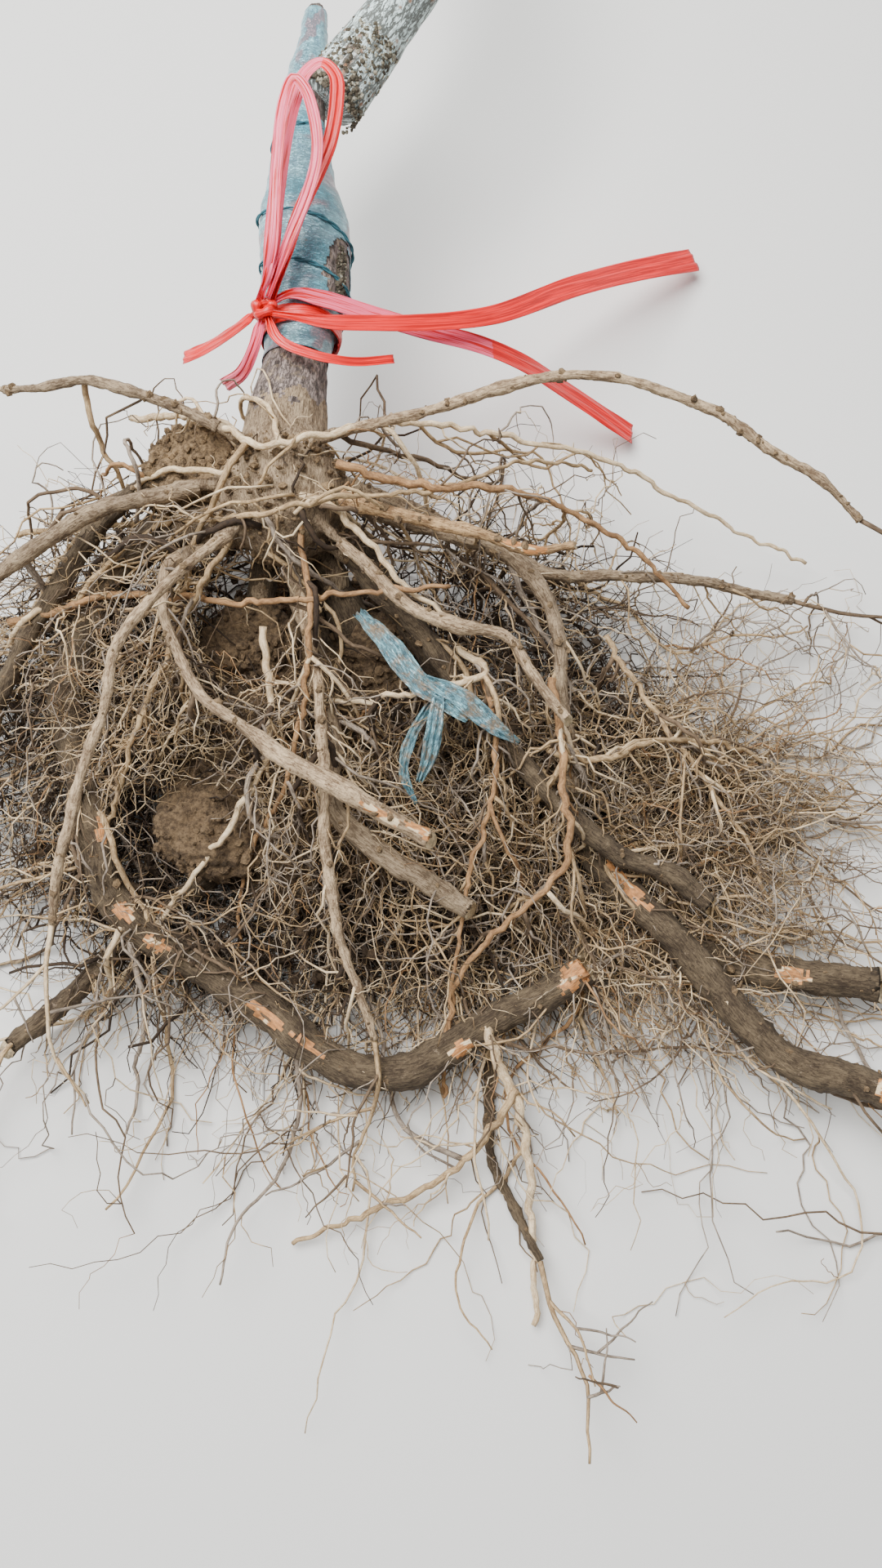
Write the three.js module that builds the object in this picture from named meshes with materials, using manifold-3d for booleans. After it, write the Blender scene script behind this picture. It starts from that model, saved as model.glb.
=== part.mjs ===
// A grafted fruit-tree sapling, lifted with bare roots and a little soil, lying on level ground.
// Millimetres. +Z is up, +Y runs from the roots to the crown, and +X is to the right, seen from the roots.
// Everything is laid out from the middle of the root collar, above the ground, and moved at the end so that
// the origin is under the middle of the whole plant.
import * as THREE from 'three';
import { mergeVertices } from 'three/addons/utils/BufferGeometryUtils.js';
import Module from 'manifold-3d';

const wasm = await Module();
wasm.setup();

// Driving dimensions
const CLEARANCE = 0.3; // between solids that meet
const FLOOR_GAP = 1; // the lowest limbs stop this far above the ground
const COLLAR_HEIGHT = 130; // the trunk's axis above the ground at the collar
const CROWN_OF_ROOTS = { back: 34, half: [40, 44, 38] }; // the swollen foot that the roots leave
const ROOT_DEPTH = 0.45; // a root's line starts this share of the foot's half size from its middle
// how far along each root its base belongs to the trunk, and how many times thicker it is inside the foot
const FLARE = { length: 38, swell: 1.7 };
const TRUNK_FOOT = -60;
const TRUNK_STEP = 28; // spacing of the points on its line
const TRUNK_SIDES = 12;
const TRUNK_RINGS = 18;
const WRAP_RINGS = 13;
const STUB_END = 344;
// radius of the trunk at distances from the collar: foot, collar, neck, graft swelling, cut stub
const TRUNK_PROFILE = [
  [TRUNK_FOOT, 20],
  [-22, 33],
  [14, 27],
  [66, 21],
  [112, 27.5],
  [165, 28.4],
  [205, 21],
  [250, 15.6],
  [290, 11],
  [STUB_END, 7],
];
// how far the trunk's line bends to the right of the collar at those distances, and rises in all
const TRUNK_BEND = [[0, 0], [121, 11.5], [225, 4.8], [STUB_END, 12.5]];
const TRUNK_RISE = 6;
const SWELLING = { at: 140, over: 50, by: 0.06 }; // the graft is this share wider than it is high
const WRAP = {
  from: 62, to: 340, thickness: 2,
  hole: { at: 121, right: 38, up: 17, half: [13, 24, 17] },
  room: 3, // round the scion
};
const SCION = {
  name: 'scion', from: 262, side: 14.7, bearing: 57, pitch: 5, length: 1420, turns: [[0.12, 33]],
  dip: -13, thick: 23.5, thin: 7, girth: [[0, 1], [0.08, 0.84], [1, 1]], kink: 3, seed: 5,
};
const SCION_STEP = 60; // spacing of the points on its line
const SCION_RINGS = 80; // spacing of its facets
const SCION_SIDES = 8;

// Main roots, lowest first. side, back: where it leaves the foot, in degrees round the trunk (0 right,
// 90 up) and behind the collar. bearing, pitch: its first direction, in degrees. turns: where it turns in
// plan, as a share of its length, and by how much. dip: how much its pitch changes. thick, thin: its radius
// at its base and at its end. girth: how many times thicker it is at places between them, as shares of its
// length. splits: where one that bends round a wide gap is cut into pieces.
const MAIN_ROOTS = [
  { name: 'root_low_left', side: 240, back: 34, bearing: -100, pitch: -34, length: 420, turns: [[0.58, -38]],
    dip: 44, thick: 9, thin: 6, seed: 11 },
  { name: 'root_low_front', side: 262, back: 44, bearing: -66, pitch: -34, length: 520,
    turns: [[0.7, -30], [0.84, 34]], dip: 44, thick: 6.5, thin: 2.4, seed: 13 },
  { name: 'root_arc_right', side: 300, back: 36, bearing: -64, pitch: -36, length: 560,
    turns: [[0.44, 22], [0.62, 34]], dip: 50, thick: 12, thin: 11, splits: [0.53], seed: 15 },
  { name: 'root_low_right', side: 335, back: 22, bearing: -50, pitch: -24, length: 560, turns: [[0.84, 28]],
    dip: 32, thick: 9, thin: 10.5, seed: 12 },
  { name: 'root_arc_left', side: 195, back: 30, bearing: -166, pitch: -20, length: 700,
    turns: [[0.13, 50], [0.29, 44], [0.5, 40], [0.79, 64]], dip: 26, thick: 13, thin: 10, splits: [0.3, 0.72],
    seed: 14 },
  { name: 'root_left', side: 176, back: 16, bearing: -178, pitch: -4, length: 260, turns: [[0.32, 54]],
    dip: -20, thick: 6.8, thin: 5.6, seed: 16 },
  { name: 'root_right_far', side: 2, back: 14, bearing: -20, pitch: -12, length: 350, turns: [[0.45, 20]],
    dip: -4, thick: 5.2, thin: 3.2, seed: 17 },
  { name: 'root_right_low_cut', side: 345, back: 42, bearing: -49, pitch: -8, length: 370,
    turns: [[0.77, 38], [0.9, -20]], dip: -8, thick: 5.6, thin: 6.2, seed: 18 },
  { name: 'root_stub', side: 286, back: 58, bearing: -80, pitch: -2, length: 285, turns: [[0.66, 46]],
    dip: -12, thick: 6.4, thin: 6.2, seed: 19 },
  { name: 'root_right_down', side: 18, back: 30, bearing: -20, pitch: 0, length: 300,
    turns: [[0.47, -24], [0.6, -42]], dip: -24, thick: 4.8, thin: 4.3, seed: 20 },
  { name: 'root_down', side: 306, back: 60, bearing: -84, pitch: 12, length: 330, turns: [[0.8, 12]],
    dip: -46, thick: 4, thin: 2.6, seed: 21 },
  { name: 'root_left_thin', side: 150, back: 26, bearing: -168, pitch: 8, length: 240, turns: [[0.5, 20]],
    dip: -38, thick: 5, thin: 4.3, seed: 22 },
  { name: 'root_hook', side: 218, back: 52, bearing: -150, pitch: 20, length: 325,
    turns: [[0.19, 50], [0.31, 32], [0.48, 36]], dip: -36, thick: 4.8, thin: 4.9,
    girth: [[0, 1], [0.24, 0.7], [0.5, 0.72], [0.6, 0.66], [0.78, 1.2], [1, 1]], splits: [0.3], seed: 23 },
  { name: 'root_fork_right', side: 36, back: 46, bearing: -46, pitch: 10, length: 225,
    turns: [[0.5, 36], [0.7, -40]], dip: -26, thick: 3.9, thin: 3.3, seed: 24 },
  { name: 'root_right_cut', side: 64, back: 38, bearing: -17, pitch: 22, length: 188, turns: [[0.84, 28]],
    dip: -42, thick: 4.4, thin: 2.8, seed: 25 },
  { name: 'root_over_left', side: 112, back: 14, bearing: 158, pitch: 26, length: 195, turns: [[0.7, 14]],
    dip: -60, thick: 3.2, thin: 2.6, seed: 26 },
  { name: 'root_over_right', side: 84, back: 12, bearing: 6, pitch: 30, length: 390,
    turns: [[0.5, -14], [0.68, -24]], dip: -56, thick: 3.4, thin: 2.6, seed: 27 },
  { name: 'root_rise', side: 118, back: 48, bearing: -128, pitch: 26, length: 310, turns: [[0.4, 22]],
    dip: -64, thick: 3.4, thin: 2.6, seed: 28 },
];
const TURN_OVER = 0.14; // each turn is taken over this share of the length
const ROOT_STEP = 34; // spacing of the rings along a root
const ROOT_SIDES = { stout: 8, slim: 6, from: 8 }; // a root is stout from a radius of `from`
const LYING_GAP = 1.2; // between roots that lie over one another

// Soil that stays among the roots: a low dome under the foot, with clods on it, and one clod at the collar.
// rough: how far its lumps stand out, as a share of its size.
const SOIL_DOME = { at: [12, -160, 12], half: [104, 122, 66], rough: 0.1, seed: 61 };
const SOIL_CLODS = [
  { at: [-24, -112, 74], half: [34, 28, 26], rough: 0.16, seed: 62 },
  { at: [-52, -236, 48], half: [34, 32, 30], rough: 0.16, seed: 63 },
  { at: [62, -120, 62], half: [36, 34, 30], rough: 0.16, seed: 64 },
];
const COLLAR_CLOD = { at: [-54, -6, 112], half: [40, 34, 30], rough: 0.16, seed: 71 };
const SOIL_MARGIN = 8; // between soil and the fine roots
const SOIL_SWELL = 1.1; // how far its lumps may stand out

// Boughs on the scion: at, as a share of its length; side, in degrees round it (0 right, 90 up); spread,
// the angle between it and the scion.
const BOUGHS = [
  { name: 'bough_1', at: 0.3, side: 168, spread: 40, length: 430, turns: [[0.4, -24]], dip: 4,
    thick: 8.5, thin: 4.4, seed: 41 },
  { name: 'bough_2', at: 0.42, side: 8, spread: 42, length: 440, turns: [[0.4, 26]], dip: 2,
    thick: 8.5, thin: 4.4, seed: 42 },
  { name: 'bough_3', at: 0.54, side: 96, spread: 40, length: 400, turns: [], dip: -26,
    thick: 7.5, thin: 4, seed: 43 },
  { name: 'bough_4', at: 0.66, side: 196, spread: 40, length: 350, turns: [[0.4, -22]], dip: 8,
    thick: 6.8, thin: 3.8, seed: 44 },
  { name: 'bough_5', at: 0.76, side: 330, spread: 40, length: 320, turns: [[0.4, 22]], dip: 8,
    thick: 6.2, thin: 3.6, seed: 45 },
];
const BOUGH_STEP = 42;
const BOUGH_SIDES = 7;
const ROOT_KINK = 5; // how much a root wanders, in degrees
const BOUGH_KINK = 3;

// Masses. on: the limb whose tip its stem meets, or the trunk, where side and back say where on the foot.
// bearing, pitch: the stem's direction, or else the limb's own. reach: how far the mass may grow from its
// own centre, which lies `out` along its stem.
const ROOT_FIBRES = [
  { name: 'fibres_right_far', on: 'root_right_far', bearing: -14, pitch: -4, out: 45, reach: 95, seed: 101 },
  { name: 'fibres_left', on: 'root_left', bearing: -128, pitch: -6, out: 45, reach: 95, seed: 102 },
  { name: 'fibres_left_thin', on: 'root_left_thin', bearing: 176, pitch: -6, out: 40, reach: 85, seed: 103 },
  { name: 'fibres_over_right', on: 'root_over_right', bearing: -40, pitch: -12, out: 40, reach: 90,
    seed: 104 },
  { name: 'fibres_over_left', on: 'root_over_left', bearing: 176, pitch: -14, out: 35, reach: 80, seed: 105 },
  { name: 'fibres_low_front', on: 'root_low_front', bearing: -84, pitch: 2, out: 35, reach: 85, seed: 106 },
  { name: 'fibres_low_right', on: 'root_low_right', bearing: -30, pitch: 4, out: 35, reach: 85, seed: 107 },
  { name: 'fibres_low_left', on: 'root_low_left', bearing: -140, pitch: 4, out: 35, reach: 85, seed: 108 },
  { name: 'fibres_down', on: 'root_down', bearing: -86, pitch: -12, out: 40, reach: 90, seed: 109 },
  { name: 'fibres_rise', on: 'root_rise', bearing: -96, pitch: -16, out: 40, reach: 90, seed: 110 },
  { name: 'fibres_arc_right', on: 'root_arc_right', bearing: 0, pitch: 6, out: 40, reach: 90, seed: 111 },
  { name: 'fibres_foot_right', on: 'trunk', side: 322, back: 22, bearing: -28, pitch: -16, out: 95,
    reach: 115, seed: 112 },
  { name: 'fibres_foot_left', on: 'trunk', side: 232, back: 40, bearing: -136, pitch: -14, out: 90,
    reach: 105, seed: 113 },
];
const CROWN_TWIGS = [
  { name: 'twigs_1', on: 'bough_1', out: 90, reach: 180, seed: 201 },
  { name: 'twigs_2', on: 'bough_2', out: 90, reach: 180, seed: 202 },
  { name: 'twigs_3', on: 'bough_3', out: 90, reach: 180, seed: 203 },
  { name: 'twigs_4', on: 'bough_4', out: 90, reach: 170, seed: 204 },
  { name: 'twigs_5', on: 'bough_5', out: 90, reach: 170, seed: 205 },
  { name: 'twigs_leader', on: 'scion', out: 110, reach: 190, seed: 206 },
];
// The branching rule of each kind of mass, with one entry for each order of shoot
const FIBRE_RULE = {
  length: [118, 72, 40], radius: [2.6, 1.7, 1.3], joints: [4, 2, 1], forks: [4, 2, 0], spread: [0, 54, 58],
  sides: [4, 3, 3], wander: 0.42, taper: 0.5, margin: 1, tries: 12,
};
const TWIG_RULE = {
  length: [270, 130, 66], radius: [3.4, 2.2, 1.6], joints: [4, 2, 1], forks: [4, 2, 0], spread: [0, 42, 46],
  sides: [4, 3, 3], wander: 0.14, taper: 0.5, margin: 1, tries: 12,
};

// Ribbon: flat plastic band tied round the trunk, with the two loops of its bow and its loose ends.
// knotAngle: where the knot sits round the trunk, from the right.
const RIBBON = {
  bandAt: 82, bandWidth: 12, thickness: 1.4, knotAngle: 124, knotRadius: 8.5, knotLength: 10,
  pinched: 3.5, pinch: 0.12, // its width in the knot, and the share of a strip's length over which it opens
};
// Each strip leaves the knot at an offset from its middle and runs through its points; a loop comes back
// to the knot. wide, wideEnd: its width once open, and at its end. rings: its facets.
const RIBBON_STRIPS = [
  { name: 'ribbon_loop_outer', wide: 12, wideEnd: 8, rings: 18, leaves: [-4, 4, 4], returns: [5, 4, 3],
    points: [[-7, 98, 180], [-3, 140, 188], [2, 180, 195], [8, 208, 199], [15, 228, 201], [25, 235, 202],
      [34, 226, 201], [35, 208, 199], [31, 180, 195], [24, 162, 191], [11, 134, 184], [2, 107, 176]] },
  { name: 'ribbon_loop_inner', wide: 8, wideEnd: 7, rings: 14, leaves: [-1, 4, 6], returns: [3, 4, 7],
    points: [[-4, 110, 190], [-1, 160, 203], [3, 198, 210], [9, 214, 212], [16, 206, 212], [23, 182, 209],
      [24, 162, 204], [18, 140, 197], [6, 112, 188]] },
  { name: 'ribbon_tail_long', wide: 10, wideEnd: 19, rings: 12, leaves: [4, -5, 3],
    points: [[6, 73, 167], [29, 71, 164], [54, 75, 157], [84, 82, 147], [135, 106, 120], [195, 157, 80],
      [245, 196, 45], [299, 231, 12]] },
  { name: 'ribbon_tail_low', wide: 12, wideEnd: 17, rings: 12, leaves: [4, 5, 0],
    points: [[6, 92, 163], [26, 92, 158], [54, 90, 146], [91, 88, 130], [129, 90, 110], [160, 91, 86],
      [198, 90, 48], [245, 80, 10]] },
  { name: 'ribbon_end_left', wide: 8, wideEnd: 10, rings: 6, leaves: [-5, -2, 0],
    points: [[-36, 80, 140], [-56, 83, 118], [-75, 87, 100]] },
  { name: 'ribbon_end_front', wide: 7, wideEnd: 10, rings: 6, leaves: [-2, -5, -1],
    points: [[-19, 62, 150], [-29, 55, 132], [-44, 58, 112]] },
  { name: 'ribbon_end_small', wide: 7, wideEnd: 6, rings: 8, leaves: [2, -6, 1],
    points: [[-2, 60, 163], [18, 51, 160], [44, 49, 154], [71, 56, 146]] },
];

const BARK_BROWN = { color: 0x7d6a55, roughness: 0.9, metalness: 0 };
const BARK_SILVER = { color: 0x9c9a90, roughness: 0.85, metalness: 0 };
const ROOT_BARK = { color: 0x9a7d58, roughness: 0.9, metalness: 0 };
const FIBRE = { color: 0x8b7150, roughness: 0.9, metalness: 0 };
const SOIL = { color: 0x6f5436, roughness: 1, metalness: 0 };
const FILM = { color: 0x8fb4bb, roughness: 0.35, metalness: 0 };
const RED_PLASTIC = { color: 0xe2463c, roughness: 0.4, metalness: 0 };

const PIECE_STEP = 16; // length of the straight pieces that distances to limbs are measured from
const LAYING_ROUNDS = 14;
const LAYING_SHARE = 0.6; // of what is still needed, in each round
const FOOT_MIDDLE = new THREE.Vector3(0, -CROWN_OF_ROOTS.back, COLLAR_HEIGHT);
const FOOT_ZONE = 85; // within this of the foot's middle the roots' bases run together

const degrees = (angle) => (angle * Math.PI) / 180;
const inDegrees = (angle) => (angle * 180) / Math.PI;
const clamp = (value, low, high) => Math.min(high, Math.max(low, value));
const ease = (t) => t * t * (3 - 2 * t);
const mix = (a, b, t) => a + (b - a) * t;

// A random generator that gives the same numbers for the same seed
function seeded(seed) {
  let state = (seed * 2654435761) >>> 0;
  const next = () => {
    state = (Math.imul(state, 1664525) + 1013904223) >>> 0;
    return state / 4294967296;
  };
  next();
  next();
  return next;
}

// The unit vector of a bearing in plan (0 is +X, 90 is +Y) and a pitch above the ground
function direction(bearing, pitch) {
  const level = Math.cos(degrees(pitch));
  return new THREE.Vector3(
    level * Math.cos(degrees(bearing)),
    level * Math.sin(degrees(bearing)),
    Math.sin(degrees(pitch)),
  );
}

// A smooth value through [place, value] pairs
function along(pairs, place) {
  for (let i = 1; i < pairs.length; i++) {
    const [p0, v0] = pairs[i - 1];
    const [p1, v1] = pairs[i];
    if (place <= p1) return mix(v0, v1, ease(clamp((place - p0) / (p1 - p0), 0, 1)));
  }
  return pairs[pairs.length - 1][1];
}

// Points along a limb: it takes its turns, changes its pitch by dip, and wanders a little by its seed
function limbPoints(limb, start, step) {
  const { bearing, pitch, length, turns, dip, kink = ROOT_KINK } = limb;
  const random = seeded(limb.seed);
  const phases = [0, 1, 2, 3].map(() => random() * Math.PI * 2);
  const count = Math.max(3, Math.round(length / step));
  const points = [start.clone()];
  for (let i = 0; i < count; i++) {
    const t = (i + 0.5) / count;
    const waves = (t * length) / 60;
    const yaw = Math.sin(waves * 2.1 + phases[0]) + 0.7 * Math.sin(waves * 4.9 + phases[1]);
    const nod = 0.7 * Math.sin(waves * 1.7 + phases[2]) + 0.4 * Math.sin(waves * 4.1 + phases[3]);
    const wander = kink * ease(Math.min(1, t * 4)); // it leaves its base straight
    const taken = ([at, by]) => by * ease(clamp((t - at) / TURN_OVER + 0.5, 0, 1));
    const turned = turns.reduce((sum, turn) => sum + taken(turn), 0);
    const way = direction(bearing + turned + yaw * wander, pitch + dip * t + nod * wander);
    const point = points[i].clone().addScaledVector(way, length / count);
    point.z = Math.max(point.z, radiusOf(limb, t) + FLOOR_GAP);
    points.push(point);
  }
  return points;
}

// A limb's smooth line, and its radius at a share of its length
const curveOf = (points) => new THREE.CatmullRomCurve3(points, false, 'centripetal');
const EVEN = [[0, 1], [1, 1]];
const radiusOf = ({ thick, thin, girth = EVEN }, share) => mix(thick, thin, share) * along(girth, share);

// Straight pieces with a radius that stand for a limb when distances are measured
function piecesOf(limb) {
  const curve = curveOf(limb.points);
  const count = Math.round(limb.length / PIECE_STEP);
  const pieces = [];
  for (let i = 0; i < count; i++) {
    const a = curve.getPointAt(i / count);
    const b = curve.getPointAt((i + 1) / count);
    pieces.push({ limb: limb.name, a, b, radius: radiusOf(limb, i / count) });
  }
  return pieces;
}

// A limb laid after others passes over them: where its line would come too near one, it is raised smoothly
function layOver(limb, earlier) {
  const lift = limb.points.map(() => 0);
  const near = earlier.filter((piece) => piece.a.distanceTo(FOOT_MIDDLE) > FOOT_ZONE);
  for (let round = 0; round < LAYING_ROUNDS; round++) {
    const raised = limb.points.map((point, i) => point.clone().setZ(point.z + lift[i]));
    const need = lift.map(() => 0);
    for (let i = 1; i < raised.length; i++) {
      const reach = radiusOf(limb, i / raised.length) + LYING_GAP;
      for (const piece of near) {
        const gap = apart(raised[i - 1], raised[i], piece.a, piece.b);
        const short = piece.radius + reach - gap;
        if (short <= 0) continue;
        need[i - 1] = Math.max(need[i - 1], short);
        need[i] = Math.max(need[i], short);
      }
    }
    // the foot of the limb stays where it is
    for (let i = 2; i < raised.length; i++) lift[i] += LAYING_SHARE * need[i];
    for (let i = 2; i < raised.length; i++) {
      const next = lift[Math.min(i + 1, lift.length - 1)];
      lift[i] = Math.max(lift[i], 0.5 * (lift[i - 1] + next));
    }
  }
  limb.points.forEach((point, i) => point.setZ(point.z + lift[i]));
}

// A cylinder bent along a curve, with closed ends. radiusAt(share of the length, angle round the axis)
function bentCylinder(points, radiusAt, sides, rings) {
  const curve = curveOf(points);
  const frames = curve.computeFrenetFrames(rings, false);
  const places = curve.getSpacedPoints(rings);
  const geometry = new THREE.CylinderGeometry(1, 1, 1, sides, rings);
  const position = geometry.attributes.position;
  const corner = new THREE.Vector3();
  for (let i = 0; i < position.count; i++) {
    corner.fromBufferAttribute(position, i);
    const share = 0.5 - corner.y;
    const ring = Math.round(share * rings);
    const off = Math.hypot(corner.x, corner.z);
    const angle = Math.atan2(corner.z, corner.x);
    const radius = off * radiusAt(ring / rings, angle);
    corner
      .copy(places[ring])
      .addScaledVector(frames.normals[ring], radius * Math.cos(angle))
      .addScaledVector(frames.binormals[ring], radius * Math.sin(angle));
    position.setXYZ(i, corner.x, corner.y, corner.z);
  }
  return geometry;
}

// Between a three.js geometry and a solid that can be cut and joined
function toSolid(geometry) {
  const bare = geometry.clone();
  bare.deleteAttribute('normal');
  bare.deleteAttribute('uv');
  const merged = mergeVertices(bare, 1e-4);
  const vertProperties = new Float32Array(merged.attributes.position.array);
  const triVerts = new Uint32Array(merged.index.array);
  return new wasm.Manifold(new wasm.Mesh({ numProp: 3, vertProperties, triVerts }));
}

function toGeometry(solid) {
  const made = solid.getMesh();
  return new THREE.BufferGeometry()
    .setAttribute('position', new THREE.BufferAttribute(new Float32Array(made.vertProperties), made.numProp))
    .setIndex(new THREE.BufferAttribute(new Uint32Array(made.triVerts), 1));
}

const joined = (solids) => wasm.Manifold.union(solids);
const largest = (solid) => solid.decompose().reduce((a, b) => (b.volume() > a.volume() ? b : a));

// A limb's solid between two shares of its length, grown by `extra` all round and at its ends
function limbSolid(limb, from, to, extra = 0) {
  const curve = curveOf(limb.points);
  const rings = Math.max(2, Math.round(((to - from) * limb.length) / limb.step));
  const points = [];
  for (let i = 0; i <= rings; i++) points.push(curve.getPointAt(mix(from, to, i / rings)));
  points[0].addScaledVector(curve.getTangentAt(from), -extra);
  points[rings].addScaledVector(curve.getTangentAt(to), extra);
  const radiusAt = (share) => radiusOf(limb, mix(from, to, share)) + extra;
  return toSolid(bentCylinder(points, radiusAt, limb.sides, rings));
}

// An ellipsoid with a lumpy surface, cut flat at the ground
function lump({ at, half, rough, seed }, detail) {
  const geometry = new THREE.IcosahedronGeometry(1, detail);
  const position = geometry.attributes.position;
  const random = seeded(seed);
  const waves = [0, 1, 2, 3, 4].map(() => [
    direction(random() * 360, random() * 180 - 90).multiplyScalar(2.5 + random() * 4),
    random() * Math.PI * 2,
  ]);
  const corner = new THREE.Vector3();
  for (let i = 0; i < position.count; i++) {
    corner.fromBufferAttribute(position, i);
    const swell = waves.reduce((sum, [way, phase]) => sum + Math.sin(way.dot(corner) + phase), 0);
    corner.multiplyScalar(1 + (rough * swell) / waves.length);
    position.setXYZ(
      i,
      at[0] + corner.x * half[0],
      at[1] + corner.y * half[1],
      Math.max(0, at[2] + corner.z * half[2]),
    );
  }
  return toSolid(geometry);
}

// The trunk's own line, and its round surface grown by `extra`
const trunkAt = (distance) => new THREE.Vector3(
  along(TRUNK_BEND, distance),
  distance,
  COLLAR_HEIGHT + (TRUNK_RISE * distance) / STUB_END,
);

function trunkBody(from, to, extra, sides, rings) {
  const count = Math.max(4, Math.ceil((to - from) / TRUNK_STEP));
  const points = Array.from({ length: count + 1 }, (_, i) => trunkAt(mix(from, to, i / count)));
  const radiusAt = (share, angle) => {
    const place = mix(from, to, share);
    const { at, over, by } = SWELLING;
    const wider = by * Math.exp(-(((place - at) / over) ** 2)) * Math.cos(2 * angle);
    return along(TRUNK_PROFILE, place) * (1 + wider) + extra;
  };
  return toSolid(bentCylinder(points, radiusAt, sides, rings));
}

// Where a root starts, inside the swollen foot
function rootStart({ side, back }) {
  const [wide, , high] = CROWN_OF_ROOTS.half;
  return new THREE.Vector3(
    ROOT_DEPTH * wide * Math.cos(degrees(side)),
    -back,
    COLLAR_HEIGHT + ROOT_DEPTH * high * Math.sin(degrees(side)),
  );
}

// The shortest distance between two straight pieces
function apart(a0, a1, b0, b1) {
  const u = a1.clone().sub(a0);
  const v = b1.clone().sub(b0);
  const w = a0.clone().sub(b0);
  const a = u.dot(u);
  const b = u.dot(v);
  const c = v.dot(v);
  const d = u.dot(w);
  const e = v.dot(w);
  const slant = a * c - b * b;
  let s = slant > 1e-9 ? clamp((b * e - c * d) / slant, 0, 1) : 0;
  const t = clamp((b * s + e) / c, 0, 1);
  s = clamp((b * t - d) / a, 0, 1);
  return w.addScaledVector(u, s).addScaledVector(v, -t).length();
}

const limbs = new Map();
const pieces = [];
for (let place = TRUNK_FOOT; place < STUB_END; place += PIECE_STEP) {
  const next = place + PIECE_STEP;
  const radius = Math.max(along(TRUNK_PROFILE, place), along(TRUNK_PROFILE, next)) + 2 * WRAP.thickness;
  pieces.push({ limb: 'trunk', a: trunkAt(place), b: trunkAt(next), radius });
}

for (const spec of MAIN_ROOTS) {
  const sides = spec.thick >= ROOT_SIDES.from ? ROOT_SIDES.stout : ROOT_SIDES.slim;
  const root = { ...spec, points: limbPoints(spec, rootStart(spec), ROOT_STEP), step: ROOT_STEP, sides };
  layOver(root, pieces.filter((piece) => piece.limb !== 'trunk'));
  limbs.set(root.name, root);
  pieces.push(...piecesOf(root));
}

const scionStart = trunkAt(SCION.from).add(new THREE.Vector3(SCION.side, 0, 0));
const scionPoints = limbPoints(SCION, scionStart, SCION_STEP);
const scion = { ...SCION, points: scionPoints, step: SCION_RINGS, sides: SCION_SIDES };
limbs.set('scion', scion);
pieces.push(...piecesOf(scion));

// A bough leaves the scion at `spread` from its line, on the given side of it
for (const spec of BOUGHS) {
  const curve = curveOf(scion.points);
  const start = curve.getPointAt(spec.at);
  const way = curve.getTangentAt(spec.at).multiplyScalar(Math.cos(degrees(spec.spread)));
  way.x += Math.sin(degrees(spec.spread)) * Math.cos(degrees(spec.side));
  way.z += Math.sin(degrees(spec.spread)) * Math.sin(degrees(spec.side));
  way.normalize();
  const bearing = inDegrees(Math.atan2(way.y, way.x));
  const pitch = inDegrees(Math.asin(way.z));
  const bough = { ...spec, bearing, pitch, kink: BOUGH_KINK, step: BOUGH_STEP, sides: BOUGH_SIDES };
  bough.points = limbPoints(bough, start, BOUGH_STEP);
  limbs.set(bough.name, bough);
  pieces.push(...piecesOf(bough));
}

// What a root fibre keeps clear of, beside the limbs: the lumps of soil
const soils = [SOIL_DOME, ...SOIL_CLODS, COLLAR_CLOD];

function inSoil(point) {
  return soils.some(({ at, half }) => {
    const offsets = point.toArray().map((value, i) => (value - at[i]) / (half[i] + SOIL_MARGIN));
    return Math.hypot(...offsets) < SOIL_SWELL;
  });
}

// Where a mass's stem starts, which way it goes, and the middle of the mass's own space
function massStem(mass) {
  let start;
  let way = direction(mass.bearing, mass.pitch);
  if (mass.on === 'trunk') {
    const [wide, long, high] = CROWN_OF_ROOTS.half;
    start = new THREE.Vector3(wide * Math.cos(degrees(mass.side)), 0, high * Math.sin(degrees(mass.side)));
    start.multiplyScalar(Math.sqrt(1 - ((CROWN_OF_ROOTS.back - mass.back) / long) ** 2));
    start.add(new THREE.Vector3(0, -mass.back, COLLAR_HEIGHT));
  } else {
    const curve = curveOf(limbs.get(mass.on).points);
    start = curve.getPointAt(1);
    if (mass.bearing === undefined) way = curve.getTangentAt(1);
  }
  start.addScaledVector(way, CLEARANCE);
  return { start, way, centre: start.clone().addScaledVector(way, mass.out) };
}

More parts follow.
